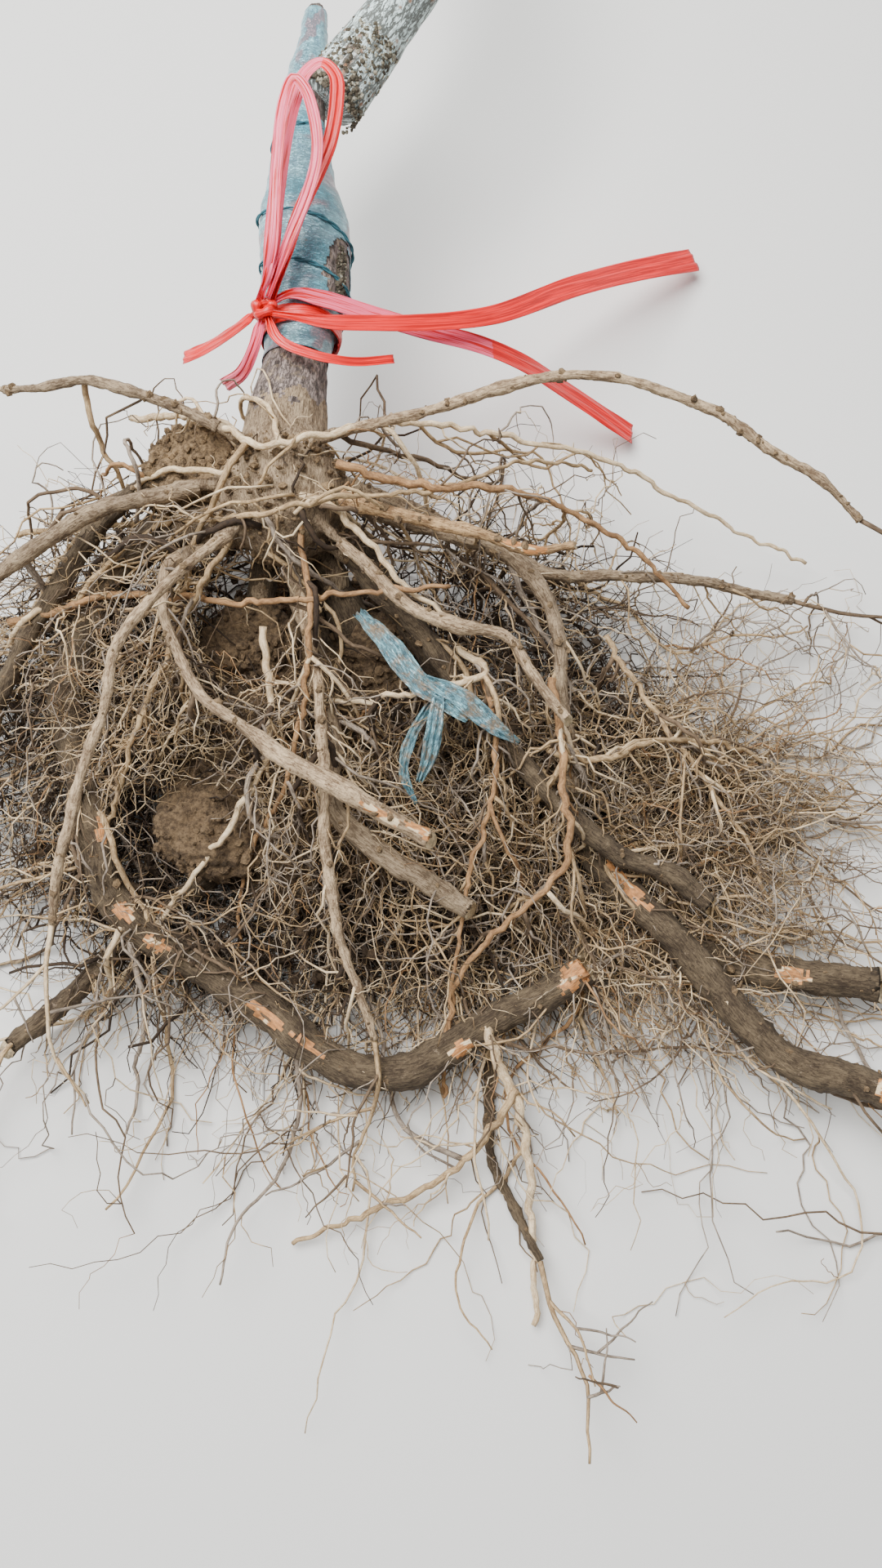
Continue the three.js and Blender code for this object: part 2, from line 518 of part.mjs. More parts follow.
// A mass: its stem, and all that forks from it, inside the mass's own space
function growMass(mass, rule, stems, room) {
  const { start, way, centre } = stems.get(mass.name);
  const solids = [];

  const inside = (point, radius) => {
    const far = point.distanceTo(centre);
    if (point.z < radius + FLOOR_GAP || far > mass.reach || inSoil(point)) return false;
    const border = far + 2 * (radius + rule.margin);
    for (const [name, other] of stems) {
      if (name !== mass.name && point.distanceTo(other.centre) < border) return false;
    }
    return true;
  };
  const clear = (a, b, radius, skip) => {
    const touches = (piece) => apart(a, b, piece.a, piece.b) < piece.radius + radius + rule.margin;
    return !pieces.some((piece) => piece.limb !== skip && touches(piece));
  };

  // the points of a shoot, as far as it can grow
  const shootPoints = (order, from, heading, random, size) => {
    const joints = rule.joints[order];
    const step = (rule.length[order] * size) / joints;
    const points = [from.clone()];
    const line = heading.clone();
    for (let i = 0; i < joints; i++) {
      line.x += rule.wander * (random() - 0.5) * 2;
      line.y += rule.wander * (random() - 0.5) * 2;
      line.z += rule.wander * (random() - 0.5) * 1.4;
      line.normalize();
      const next = points[i].clone().addScaledVector(line, step);
      next.z = Math.max(next.z, rule.radius[order] + FLOOR_GAP + 1);
      const skip = order === 0 && i === 0 ? mass.on : '';
      if (!inside(next, rule.radius[order]) || !clear(points[i], next, rule.radius[order], skip)) break;
      points.push(next);
    }
    return points;
  };

  // a shoot and all that forks from it; the stem is tried several ways, and the longest is kept
  const grow = (order, from, heading, seed, size) => {
    const tries = order === 0 ? rule.tries : 1;
    let points = [];
    for (let trial = 0; trial < tries && points.length <= rule.joints[order]; trial++) {
      const found = shootPoints(order, from, heading, seeded(seed + trial * 97), size);
      if (found.length > points.length) points = found;
    }
    if (points.length < 2) return;
    const rings = points.length - 1;
    if (rings === 1) points.splice(1, 0, points[0].clone().lerp(points[1], 0.5));
    const radiusAt = (share) => rule.radius[order] * mix(1, rule.taper, share);
    solids.push(toSolid(bentCylinder(points, radiusAt, rule.sides[order], rings)));
    const random = seeded(seed + 7);
    const path = curveOf(points);
    for (let k = 0; k < rule.forks[order]; k++) {
      const share = Math.min((k + 0.8) / rule.forks[order], 0.97);
      const out = path.getTangentAt(share);
      const aside = new THREE.Vector3(random() - 0.5, random() - 0.5, random() - 0.5).cross(out).normalize();
      const angle = degrees(rule.spread[order + 1] * (0.7 + 0.6 * random()));
      out.multiplyScalar(Math.cos(angle)).addScaledVector(aside, Math.sin(angle));
      grow(order + 1, path.getPointAt(share), out, seed * 13 + k + 1, size * (0.8 + 0.4 * random()));
    }
  };
  grow(0, start, way, mass.seed, 1);
  return largest(joined(solids).subtract(room));
}

// A flat strip along a curve, its flat side up at the start and carried along without twisting
function strip(points, widthAt, thickness, rings) {
  const curve = curveOf(points.map((point) => new THREE.Vector3(...point)));
  const geometry = new THREE.BoxGeometry(1, 1, 1, 1, rings, 1);
  const position = geometry.attributes.position;
  const places = curve.getSpacedPoints(rings);
  const ways = places.map((place, i) => curve.getTangentAt(i / rings));
  const across = [ways[0].clone().cross(new THREE.Vector3(0, 0, 1)).normalize()];
  for (let i = 1; i <= rings; i++) {
    const side = across[i - 1].clone().addScaledVector(ways[i], -across[i - 1].dot(ways[i]));
    across.push(side.normalize());
  }
  const corner = new THREE.Vector3();
  for (let i = 0; i < position.count; i++) {
    corner.fromBufferAttribute(position, i);
    const ring = Math.round((corner.y + 0.5) * rings);
    const over = across[ring].clone().cross(ways[ring]);
    const place = places[ring]
      .clone()
      .addScaledVector(across[ring], corner.x * widthAt(ring / rings))
      .addScaledVector(over, corner.z * thickness);
    position.setXYZ(i, place.x, place.y, place.z);
  }
  return toSolid(geometry);
}

const plant = new THREE.Group();
plant.name = 'sapling';

function addNode(name, solid, finish) {
  const mesh = new THREE.Mesh(toGeometry(solid), new THREE.MeshStandardMaterial(finish));
  mesh.name = name;
  plant.add(mesh);
}

// Trunk: stem with its graft swelling and cut stub, the foot, and the swollen base of each root
function rootBase(root, extra) {
  const share = (FLARE.length + 1.5 * extra) / root.length;
  const curve = curveOf(root.points);
  const points = [0, 0.5, 1].map((t) => curve.getPointAt(share * t));
  const radiusAt = (t) => mix(FLARE.swell * root.thick, radiusOf(root, share), ease(t)) + extra;
  return toSolid(bentCylinder(points, radiusAt, root.sides, 2));
}

function trunkSolid(extra) {
  const foot = new THREE.IcosahedronGeometry(1, 2);
  foot.scale(...CROWN_OF_ROOTS.half.map((half) => half + extra));
  foot.translate(0, -CROWN_OF_ROOTS.back, COLLAR_HEIGHT);
  const bases = MAIN_ROOTS.map((root) => rootBase(limbs.get(root.name), extra));
  const stem = trunkBody(TRUNK_FOOT, STUB_END + extra, extra, TRUNK_SIDES, TRUNK_RINGS);
  return joined([stem, toSolid(foot), ...bases]);
}

const trunk = trunkSolid(0);
const trunkRoom = trunkSolid(CLEARANCE);
addNode('trunk', trunk, BARK_BROWN);

// Scion: the fruiting stem that was grafted on, now the leader
addNode('scion', largest(limbSolid(scion, 0, 1).subtract(trunkRoom)), BARK_SILVER);

// Film wrapped over the graft and the stub, open where the scion leaves and torn over the callus
const sleeve = trunkBody(WRAP.from, WRAP.to, CLEARANCE + WRAP.thickness, TRUNK_SIDES, WRAP_RINGS);
const tear = new THREE.IcosahedronGeometry(1, 1);
tear.scale(...WRAP.hole.half);
tear.translate(WRAP.hole.right, WRAP.hole.at, COLLAR_HEIGHT + WRAP.hole.up);
const wrap = sleeve.subtract(trunkRoom).subtract(limbSolid(scion, 0, 1, WRAP.room)).subtract(toSolid(tear));
addNode('graft_wrap', largest(wrap), FILM);

// Main roots, each from the end of its base to its tip or its cut, notched where one presses on another.
// The pieces of one that bends round a wide gap meet face to face.
const PIECE_NAMES = { 1: [''], 2: ['_base', '_end'], 3: ['_base', '_middle', '_end'] };
let laid = trunkRoom;
for (const { name, splits = [] } of MAIN_ROOTS) {
  const root = limbs.get(name);
  const start = FLARE.length / root.length;
  const curve = curveOf(root.points);
  const pieceNames = PIECE_NAMES[splits.length + 1];
  let rest = largest(limbSolid(root, start, 1).subtract(laid));
  splits.forEach((split, i) => {
    const way = curve.getTangentAt(split);
    const place = way.dot(curve.getPointAt(split));
    addNode(name + pieceNames[i], rest.trimByPlane(way.clone().negate().toArray(), -place), ROOT_BARK);
    rest = rest.trimByPlane(way.toArray(), place + CLEARANCE);
  });
  addNode(name + pieceNames[splits.length], rest, ROOT_BARK);
  laid = laid.add(limbSolid(root, start, 1, CLEARANCE));
}

// Boughs
for (const { name } of BOUGHS) {
  const bough = limbs.get(name);
  addNode(name, largest(limbSolid(bough, 0, 1).subtract(limbSolid(scion, 0, 1, CLEARANCE))), BARK_SILVER);
}

// Masses of fine roots and of bare twigs
const stemsOf = (masses) => new Map(masses.map((mass) => [mass.name, massStem(mass)]));
const fibreStems = stemsOf(ROOT_FIBRES);
const twigStems = stemsOf(CROWN_TWIGS);
const crown = joined([SCION, ...BOUGHS].map(({ name }) => limbSolid(limbs.get(name), 0, 1, CLEARANCE)));
for (const mass of ROOT_FIBRES) addNode(mass.name, growMass(mass, FIBRE_RULE, fibreStems, laid), FIBRE);
for (const mass of CROWN_TWIGS) addNode(mass.name, growMass(mass, TWIG_RULE, twigStems, crown), BARK_SILVER);

// Soil, with the space of the trunk and of every root cut out of it
const soilCore = joined([lump(SOIL_DOME, 3), ...SOIL_CLODS.map((clod) => lump(clod, 1))]);
addNode('soil_core', largest(soilCore.subtract(laid)), SOIL);
addNode('soil_clod', largest(lump(COLLAR_CLOD, 1).subtract(laid)), SOIL);

// Ribbon: the band round the trunk, over the film, then the knot on it, the loops and the ends
const outside = (extra) => {
  const { bandAt, bandWidth } = RIBBON;
  const reach = 2 * CLEARANCE + WRAP.thickness + extra;
  return trunkBody(bandAt - bandWidth / 2, bandAt + bandWidth / 2, reach, TRUNK_SIDES, 2);
};
const wrapped = trunkBody(WRAP.from, WRAP.to, 2 * CLEARANCE + WRAP.thickness, TRUNK_SIDES, WRAP_RINGS);
addNode('ribbon_band', largest(outside(RIBBON.thickness).subtract(wrapped)), RED_PLASTIC);

const bandOut = along(TRUNK_PROFILE, RIBBON.bandAt) + 2 * CLEARANCE + WRAP.thickness + RIBBON.thickness;
const knotOut = bandOut + CLEARANCE + RIBBON.knotRadius;
const knotAt = trunkAt(RIBBON.bandAt);
knotAt.x += knotOut * Math.cos(degrees(RIBBON.knotAngle));
knotAt.z += knotOut * Math.sin(degrees(RIBBON.knotAngle));
const knot = (extra) => {
  const ball = new THREE.SphereGeometry(1, 12, 8);
  ball.scale(RIBBON.knotRadius + extra, RIBBON.knotLength + extra, RIBBON.knotRadius + extra);
  ball.translate(...knotAt.toArray());
  return toSolid(ball);
};
addNode('ribbon_knot', knot(0), RED_PLASTIC);

// a strip is pinched where it enters the knot
function stripWidth(wide, wideEnd, isLoop) {
  const open = (share) => ease(clamp(share / RIBBON.pinch, 0, 1));
  return (share) => {
    const opened = open(share) * (isLoop ? open(1 - share) : 1);
    return mix(RIBBON.pinched, mix(wide, wideEnd, share), opened);
  };
}

const bound = outside(RIBBON.thickness + CLEARANCE);
let taken = joined([laid, wrapped, bound, knot(CLEARANCE), limbSolid(scion, 0, 1, CLEARANCE)]);
for (const { name, points, wide, wideEnd, rings, leaves, returns } of RIBBON_STRIPS) {
  const offset = (by) => knotAt.clone().add(new THREE.Vector3(...by)).toArray();
  const line = [offset(leaves), ...points, ...(returns ? [offset(returns)] : [])];
  const width = stripWidth(wide, wideEnd, Boolean(returns));
  const made = (extra) => {
    const widthAt = (share) => width(share) + 2 * extra;
    return strip(line, widthAt, RIBBON.thickness + 2 * extra, rings);
  };
  addNode(name, largest(made(0).subtract(taken)), RED_PLASTIC);
  taken = taken.add(made(CLEARANCE));
}

plant.updateMatrixWorld(true);
const box = new THREE.Box3().setFromObject(plant);
const middle = box.getCenter(new THREE.Vector3());
plant.position.set(-middle.x, -middle.y, -box.min.z);

export default plant;
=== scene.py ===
"""A grafted sapling with bare roots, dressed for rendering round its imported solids."""
import math

import bmesh
import bpy
import numpy as np
from bpy.props import FloatProperty, FloatVectorProperty, IntProperty, PointerProperty
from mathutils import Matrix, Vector


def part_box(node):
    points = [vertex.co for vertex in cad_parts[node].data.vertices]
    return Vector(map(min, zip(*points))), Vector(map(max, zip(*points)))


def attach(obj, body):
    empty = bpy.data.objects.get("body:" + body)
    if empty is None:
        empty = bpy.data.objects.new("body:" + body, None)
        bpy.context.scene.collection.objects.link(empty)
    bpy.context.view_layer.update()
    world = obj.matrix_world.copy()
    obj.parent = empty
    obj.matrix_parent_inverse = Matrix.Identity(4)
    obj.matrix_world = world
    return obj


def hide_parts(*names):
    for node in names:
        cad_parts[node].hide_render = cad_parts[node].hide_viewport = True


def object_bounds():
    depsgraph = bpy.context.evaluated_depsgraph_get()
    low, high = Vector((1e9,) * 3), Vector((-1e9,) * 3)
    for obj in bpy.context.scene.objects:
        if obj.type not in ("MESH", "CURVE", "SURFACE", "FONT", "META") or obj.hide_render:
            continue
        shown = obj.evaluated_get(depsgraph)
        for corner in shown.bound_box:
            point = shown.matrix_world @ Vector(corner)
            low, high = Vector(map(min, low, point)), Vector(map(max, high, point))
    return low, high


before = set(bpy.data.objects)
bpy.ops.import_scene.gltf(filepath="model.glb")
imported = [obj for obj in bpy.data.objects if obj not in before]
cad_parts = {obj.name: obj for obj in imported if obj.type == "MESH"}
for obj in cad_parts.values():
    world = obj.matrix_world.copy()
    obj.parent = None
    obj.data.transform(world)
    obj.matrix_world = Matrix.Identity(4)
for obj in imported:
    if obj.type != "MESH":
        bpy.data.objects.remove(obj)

bl_info = {
    "name": "Grafted sapling",
    "version": (1, 0, 0),
    "blender": (4, 5, 0),
    "location": "View3D > Sidebar > Sapling",
    "description": "Bark, roots, film, ribbon and twigs of a sapling that lies lifted on the ground",
    "category": "Add Mesh",
}

CAD_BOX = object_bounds()
MM = 0.001

# The plant's own sizes, in millimetres from the middle of its root collar on the ground
FLOOR_GAP = 1
COLLAR_HEIGHT = 130
FOOT = {"back": 34, "half": np.array([40.0, 44.0, 38.0]), "depth": 0.45}
FOOT_MIDDLE = np.array([0.0, -FOOT["back"], COLLAR_HEIGHT])
FOOT_ZONE = 85
FLARE = {"length": 38, "swell": 1.7}
TRUNK_FOOT = -60
STUB_END = 344
TRUNK_PROFILE = [(-60, 20), (-22, 33), (14, 27), (66, 21), (112, 27.5), (165, 28.4), (205, 21), (250, 15.6),
                 (290, 11), (344, 7)]
TRUNK_BEND = [(0, 0), (121, 11.5), (225, 4.8), (344, 12.5)]
TRUNK_RISE = 6
SWELLING = {"at": 140, "over": 50, "by": 0.06}
WRAP = {"from": 62, "to": 340, "thickness": 2, "gap": 0.3}
TEAR = {"middle": (38, 121, 147), "half": (13, 24, 17)}
PIECE_STEP = 16
LAYING = {"rounds": 14, "share": 0.6, "gap": 1.2}
TURN_OVER = 0.14
ROOT_STEP = 34
SCION_STEP = 60
BOUGH_STEP = 42
SOIL_MARGIN = 8
SOIL_SWELL = 1.1


def limb(name, length, bearing, pitch, dip, thick, thin, seed, turns=(), kink=5,
         girth=((0, 1), (1, 1)), **place):
    """A limb's sizes: thick and thin are its radii, turns are (share of its length, degrees)"""
    return dict(place, name=name, length=length, bearing=bearing, pitch=pitch, dip=dip, thick=thick,
                thin=thin, seed=seed, turns=turns, kink=kink, girth=girth)


MAIN_ROOTS = [
    limb("root_low_left", 420, -100, -34, 44, 9, 6, 11, [(0.58, -38)], side=240, back=34),
    limb("root_low_front", 520, -66, -34, 44, 6.5, 2.4, 13, [(0.7, -30), (0.84, 34)], side=262, back=44),
    limb("root_arc_right", 560, -64, -36, 50, 12, 11, 15, [(0.44, 22), (0.62, 34)], side=300, back=36),
    limb("root_low_right", 560, -50, -24, 32, 9, 10.5, 12, [(0.84, 28)], side=335, back=22),
    limb("root_arc_left", 700, -166, -20, 26, 13, 10, 14, [(0.13, 50), (0.29, 44), (0.5, 40), (0.79, 64)],
         side=195, back=30),
    limb("root_left", 260, -178, -4, -20, 6.8, 5.6, 16, [(0.32, 54)], side=176, back=16),
    limb("root_right_far", 350, -20, -12, -4, 5.2, 3.2, 17, [(0.45, 20)], side=2, back=14),
    limb("root_right_low_cut", 370, -49, -8, -8, 5.6, 6.2, 18, [(0.77, 38), (0.9, -20)], side=345, back=42),
    limb("root_stub", 285, -80, -2, -12, 6.4, 6.2, 19, [(0.66, 46)], side=286, back=58),
    limb("root_right_down", 300, -20, 0, -24, 4.8, 4.3, 20, [(0.47, -24), (0.6, -42)], side=18, back=30),
    limb("root_down", 330, -84, 12, -46, 4, 2.6, 21, [(0.8, 12)], side=306, back=60),
    limb("root_left_thin", 240, -168, 8, -38, 5, 4.3, 22, [(0.5, 20)], side=150, back=26),
    limb("root_hook", 325, -150, 20, -36, 4.8, 4.9, 23, [(0.19, 50), (0.31, 32), (0.48, 36)],
         girth=((0, 1), (0.24, 0.7), (0.5, 0.72), (0.6, 0.66), (0.78, 1.2), (1, 1)), side=218, back=52),
    limb("root_fork_right", 225, -46, 10, -26, 3.9, 3.3, 24, [(0.5, 36), (0.7, -40)], side=36, back=46),
    limb("root_right_cut", 188, -17, 22, -42, 4.4, 2.8, 25, [(0.84, 28)], side=64, back=38),
    limb("root_over_left", 195, 158, 26, -60, 3.2, 2.6, 26, [(0.7, 14)], side=112, back=14),
    limb("root_over_right", 390, 6, 30, -56, 3.4, 2.6, 27, [(0.5, -14), (0.68, -24)], side=84, back=12),
    limb("root_rise", 310, -128, 26, -64, 3.4, 2.6, 28, [(0.4, 22)], side=118, back=48),
]
SCION = limb("scion", 1420, 57, 5, -13, 23.5, 7, 5, [(0.12, 33)], kink=3,
             girth=((0, 1), (0.08, 0.84), (1, 1)), leaves_at=262, aside=14.7)
BOUGHS = [
    limb("bough_1", 430, 0, 0, 4, 8.5, 4.4, 41, [(0.4, -24)], kink=3, at=0.3, side=168, spread=40),
    limb("bough_2", 440, 0, 0, 2, 8.5, 4.4, 42, [(0.4, 26)], kink=3, at=0.42, side=8, spread=42),
    limb("bough_3", 400, 0, 0, -26, 7.5, 4, 43, kink=3, at=0.54, side=96, spread=40),
    limb("bough_4", 350, 0, 0, 8, 6.8, 3.8, 44, [(0.4, -22)], kink=3, at=0.66, side=196, spread=40),
    limb("bough_5", 320, 0, 0, 8, 6.2, 3.6, 45, [(0.4, 22)], kink=3, at=0.76, side=330, spread=40),
]


def mass(name, on, out, reach, seed, heading=None, side=0, back=0):
    """A mass of twigs or fine roots: on is the limb whose tip its stem meets, heading its own direction"""
    return dict(name=name, on=on, out=out, reach=reach, seed=seed, heading=heading, side=side, back=back)


# Masses at the tips of main roots: how far out their middle lies, how far they reach, and their heading
TIP_FIBRES = {
    "right_far": (45, 95, (-14, -4)), "left": (45, 95, (-128, -6)), "left_thin": (40, 85, (176, -6)),
    "over_right": (40, 90, (-40, -12)), "over_left": (35, 80, (176, -14)), "low_front": (35, 85, (-84, 2)),
    "low_right": (35, 85, (-30, 4)), "low_left": (35, 85, (-140, 4)), "down": (40, 90, (-86, -12)),
    "rise": (40, 90, (-96, -16)), "arc_right": (40, 90, (0, 6)),
}
ROOT_FIBRES = [mass(f"fibres_{tip}", f"root_{tip}", out, reach, seed, heading)
               for seed, (tip, (out, reach, heading)) in enumerate(TIP_FIBRES.items(), 101)]
ROOT_FIBRES += [
    mass("fibres_foot_right", "trunk", 95, 115, 112, (-28, -16), side=322, back=22),
    mass("fibres_foot_left", "trunk", 90, 105, 113, (-136, -14), side=232, back=40),
]
CROWN_TWIGS = [mass(f"twigs_{i}", f"bough_{i}", 90, reach, 200 + i)
               for i, reach in enumerate((180, 180, 180, 170, 170), 1)]
CROWN_TWIGS.append(mass("twigs_leader", "scion", 110, 190, 206))
# The branching rules, with one value for each order of shoot
FIBRE_RULE = dict(length=(118, 72, 40), radius=(2.6, 1.7, 1.3), joints=(4, 2, 1), forks=(4, 2, 0),
                  spread=(0, 54, 58), wander=0.42, margin=1, tries=12)
TWIG_RULE = dict(length=(270, 130, 66), radius=(3.4, 2.2, 1.6), joints=(4, 2, 1), forks=(4, 2, 0),
                 spread=(0, 42, 46), wander=0.14, taper=0.5, margin=1, tries=12)

# Lumps of soil: middle and half sizes
SOIL_LUMPS = [
    ((12, -160, 12), (104, 122, 66)),
    ((-24, -112, 74), (34, 28, 26)),
    ((-52, -236, 48), (34, 32, 30)),
    ((62, -120, 62), (36, 34, 30)),
    ((-54, -6, 112), (40, 34, 30)),
]

# Slender roots that lie over the others: radius, then their route
STRANDS = [
    (2.3, [(-109, 43, 96), (-65, 26, 128), (-41, 4, 152), (-6, -21, 174), (29, -17, 176), (58, -3, 165),
           (102, 13, 140), (161, 14, 116), (222, 9, 92), (282, -8, 62), (363, -31, 22)]),
    (2.0, [(-192, -27, 60), (-110, -38, 96), (-56, -51, 132), (-5, -67, 172), (28, -60, 178),
           (70, -54, 172), (112, -34, 148), (155, -2, 118), (205, 12, 80)]),
    (2.6, [(-181, -105, 92), (-106, -90, 106), (-68, -98, 118), (-3, -111, 142), (45, -108, 148),
           (108, -100, 146)]),
    (2.4, [(12, -46, 158), (31, -52, 158), (58, -77, 152), (80, -98, 144), (102, -114, 134),
           (115, -121, 128)]),
    (2.2, [(-30, -62, 140), (-68, -139, 126), (-92, -184, 100), (-113, -229, 66), (-144, -291, 20)]),
    (2.0, [(14, -60, 150), (21, -133, 140), (4, -215, 96), (-26, -258, 52), (-34, -320, 20)]),
    (2.3, [(112, -131, 120), (132, -149, 124), (91, -163, 126), (51, -168, 118), (8, -162, 100)]),
    (2.2, [(170, -190, 90), (205, -198, 92), (233, -184, 84), (300, -175, 44), (352, -190, 14)]),
    (2.6, [(172, -150, 112), (178, -217, 104), (178, -265, 86), (133, -307, 60), (112, -332, 46),
           (104, -402, 14)]),
    (2.4, [(-10, -120, 124), (-7, -184, 100), (-28, -233, 84), (-70, -280, 56), (-120, -340, 12)]),
    (1.9, [(210, -110, 84), (243, -159, 70), (274, -200, 60), (308, -246, 38), (330, -300, 10)]),
    (1.8, [(128, -150, 116), (137, -203, 110), (122, -259, 80), (112, -312, 56), (104, -403, 18)]),
    (3.4, [(130, -360, 40), (154, -423, 26), (159, -473, 14), (161, -543, 6)]),
    (2.6, [(150, -400, 34), (112, -448, 22), (60, -474, 12), (7, -494, 6)]),
    (2.6, [(38, -30, 166), (92, -42, 160), (150, -36, 140), (214, -46, 104), (268, -84, 66)]),
    (2.0, [(-30, -30, 160), (-80, -22, 136), (-128, -34, 100), (-172, -70, 60), (-204, -120, 18)]),
]

RIBBON = {"band_at": 82, "thickness": 1.4, "knot_angle": 124, "knot_radius": 8.5, "knot_length": 10,
          "pinched": 3.5, "pinch": 0.12, "step": 2.2, "pleats": 2.2}


def strip(name, wide, wide_end, leaves, points, returns=None, backlit_pink=False, turns_red=2.0):
    """A strip of the ribbon: its widths, where it leaves and enters the knot, its route, and how far along
    it is painted pink for light shining through single ribbon
    """
    return dict(name=name, wide=wide, wide_end=wide_end, leaves=leaves, points=points, returns=returns,
                backlit_pink=backlit_pink, turns_red=turns_red)


RIBBON_STRIPS = [
    strip("ribbon_loop_outer", 12, 8, (-4, 4, 4),
          [(-7, 98, 180), (-3, 140, 188), (2, 180, 195), (8, 208, 199), (15, 228, 201), (25, 235, 202),
           (34, 226, 201), (35, 208, 199), (31, 180, 195), (24, 162, 191), (11, 134, 184), (2, 107, 176)],
          (5, 4, 3), backlit_pink=True, turns_red=0.5),
    strip("ribbon_loop_inner", 8, 7, (-1, 4, 6),
          [(-4, 110, 190), (-1, 160, 203), (3, 198, 210), (9, 214, 212), (16, 206, 212), (23, 182, 209),
           (24, 162, 204), (18, 140, 197), (6, 112, 188)], (3, 4, 7), backlit_pink=True),
    strip("ribbon_tail_long", 10, 19, (4, -5, 3),
          [(6, 73, 167), (29, 71, 164), (54, 75, 157), (84, 82, 147), (135, 106, 120), (195, 157, 80),
           (245, 196, 45), (299, 231, 12)]),
    strip("ribbon_tail_low", 12, 17, (4, 5, 0),
          [(6, 92, 163), (26, 92, 158), (54, 90, 146), (91, 88, 130), (129, 90, 110), (160, 91, 86),
           (198, 90, 48), (245, 80, 10)], backlit_pink=True, turns_red=0.52),
    strip("ribbon_end_left", 8, 10, (-5, -2, 0), [(-36, 80, 140), (-56, 83, 118), (-75, 87, 100)]),
    strip("ribbon_end_front", 7, 10, (-2, -5, -1), [(-19, 62, 150), (-29, 55, 132), (-44, 58, 112)],
          backlit_pink=True),
    strip("ribbon_end_small", 7, 6, (2, -6, 1),
          [(-2, 60, 163), (18, 51, 160), (44, 49, 154), (71, 56, 146)]),
]


def srgb(red, green, blue):
    """A colour's linear values, from the usual 0 to 255"""
    return tuple(((value / 255 + 0.055) / 1.055) ** 2.4 for value in (red, green, blue))


def colour_property(label, description, *value):
    return FloatVectorProperty(name=label, description=description, default=srgb(*value), subtype="COLOR",
                               size=3, min=0, max=1)


def amount_property(label, description, value):
    return IntProperty(name=label, description=description, default=value, min=2)


def length_property(label, description, value):
    return FloatProperty(name=label, description=description, default=value, unit="LENGTH",
                         subtype="DISTANCE")


class SaplingColours(bpy.types.PropertyGroup):
    """Base colours of the plant's surfaces"""
    root_light: colour_property("Root, light", "Worn ridges of the main roots", 214, 190, 158)
    root_dark: colour_property("Root, dark", "Shaded bark of the main roots", 112, 92, 72)
    root_wound: colour_property("Root wound", "Scraped root bark", 214, 146, 86)
    cut_wood: colour_property("Cut wood", "Ends that the spade cut", 234, 210, 168)
    trunk_light: colour_property("Trunk, light", "Rootstock bark", 156, 140, 132)
    trunk_dark: colour_property("Trunk, dark", "Furrows of the rootstock", 82, 70, 64)
    scion_light: colour_property("Scion, light", "Silvery skin of the grafted stem", 234, 253, 250)
    scion_dark: colour_property("Scion, dark", "Cracks of the grafted stem", 66, 64, 56)
    scion_rust: colour_property("Scion, rust", "Rusty flecks of the grafted stem", 150, 104, 72)
    twig_light: colour_property("Twig, light", "One-year wood", 136, 100, 80)
    twig_dark: colour_property("Twig, dark", "Shaded one-year wood", 72, 46, 38)
    # Lightened, this paints highlights on the film's wrinkles; darkened, film_dark paints shade in its
    # creases
    film_light: colour_property("Film, light", "Grafting film that lies smooth", 178, 238, 248)
    film_dark: colour_property("Film, dark", "Grafting film in its folds", 126, 172, 190)
    film_tight: colour_property("Film, tight", "Grafting film where it is stretched", 92, 172, 190)
    film_cream: colour_property("Film, cream", "Bark that shows through the film", 178, 158, 166)
    ribbon_red: colour_property("Ribbon, red", "Folded ribbon", 206, 8, 8)
    ribbon_backlit_pink: colour_property("Ribbon, pink", "Single ribbon with light through it", 250, 100, 132)
    soil_light: colour_property("Soil, light", "Dry crumbs", 166, 138, 102)
    # The soil finishes mix in more of this dark colour where they paint shade under and among the roots
    soil_dark: colour_property("Soil, dark", "Damp soil", 62, 46, 32)
    dust: colour_property("Dust", "Dry soil on the bark", 158, 138, 114)


class SaplingAmounts(bpy.types.PropertyGroup):
    """How many of each small thing grow"""
    side_roots: amount_property("Side roots", "Roots that leave the foot and main roots", 230)
    thin_roots: amount_property("Thin roots", "Roots that leave the side roots", 2300)
    hair_roots: amount_property("Hair roots", "The finest roots", 12000)
    crumbs: amount_property("Crumbs", "Crumbs of soil that cling to the plant", 6400)
    # Low roots and low crumbs are dark things put low in the tangle as painted shade
    low_roots: amount_property("Low roots", "Dark roots that lie lowest", 2000)
    low_crumbs: amount_property("Low crumbs", "Crumbs of soil among the lowest roots", 2200)


class SaplingSizes(bpy.types.PropertyGroup):
    """Sizes of the surface detail"""
    root_relief: length_property("Root relief", "Height of the ridges on the roots", 0.0012)
    bark_relief: length_property("Bark relief", "Height of the ridges on the stem", 0.0006)
    film_step: length_property("Film step", "Step at the edge of each turn of the film", 0.0006)
    hair_radius: length_property("Hair root radius", "Radius of the finest roots", 0.00042)


# Measures and random numbers

def unit(vectors):
    return vectors / np.maximum(np.linalg.norm(vectors, axis=-1, keepdims=True), 1e-12)


def dot(a, b):
    return np.sum(a * b, axis=-1)


def mix(a, b, t):
    return a + (b - a) * t


def ease(t):
    return t * t * (3 - 2 * t)


def along(pairs, place):
    """A smooth value through (place, value) pairs"""
    places, values = np.array(pairs, float).T
    place = np.clip(place, places[0], places[-1])
    i = np.clip(np.searchsorted(places, place) - 1, 0, len(places) - 2)
    share = (place - places[i]) / (places[i + 1] - places[i])
    return mix(values[i], values[i + 1], ease(share))


def off_centre(places, middle, half):
    """How far places lie from a middle, 1 on the rounded shape with those half sizes"""
    return np.linalg.norm((places - np.array(middle)) / np.array(half), axis=-1)


def square_to(vectors, ways):
    """The parts of vectors that stand square to ways, as unit vectors"""
    return unit(vectors - dot(vectors, ways)[..., None] * ways)


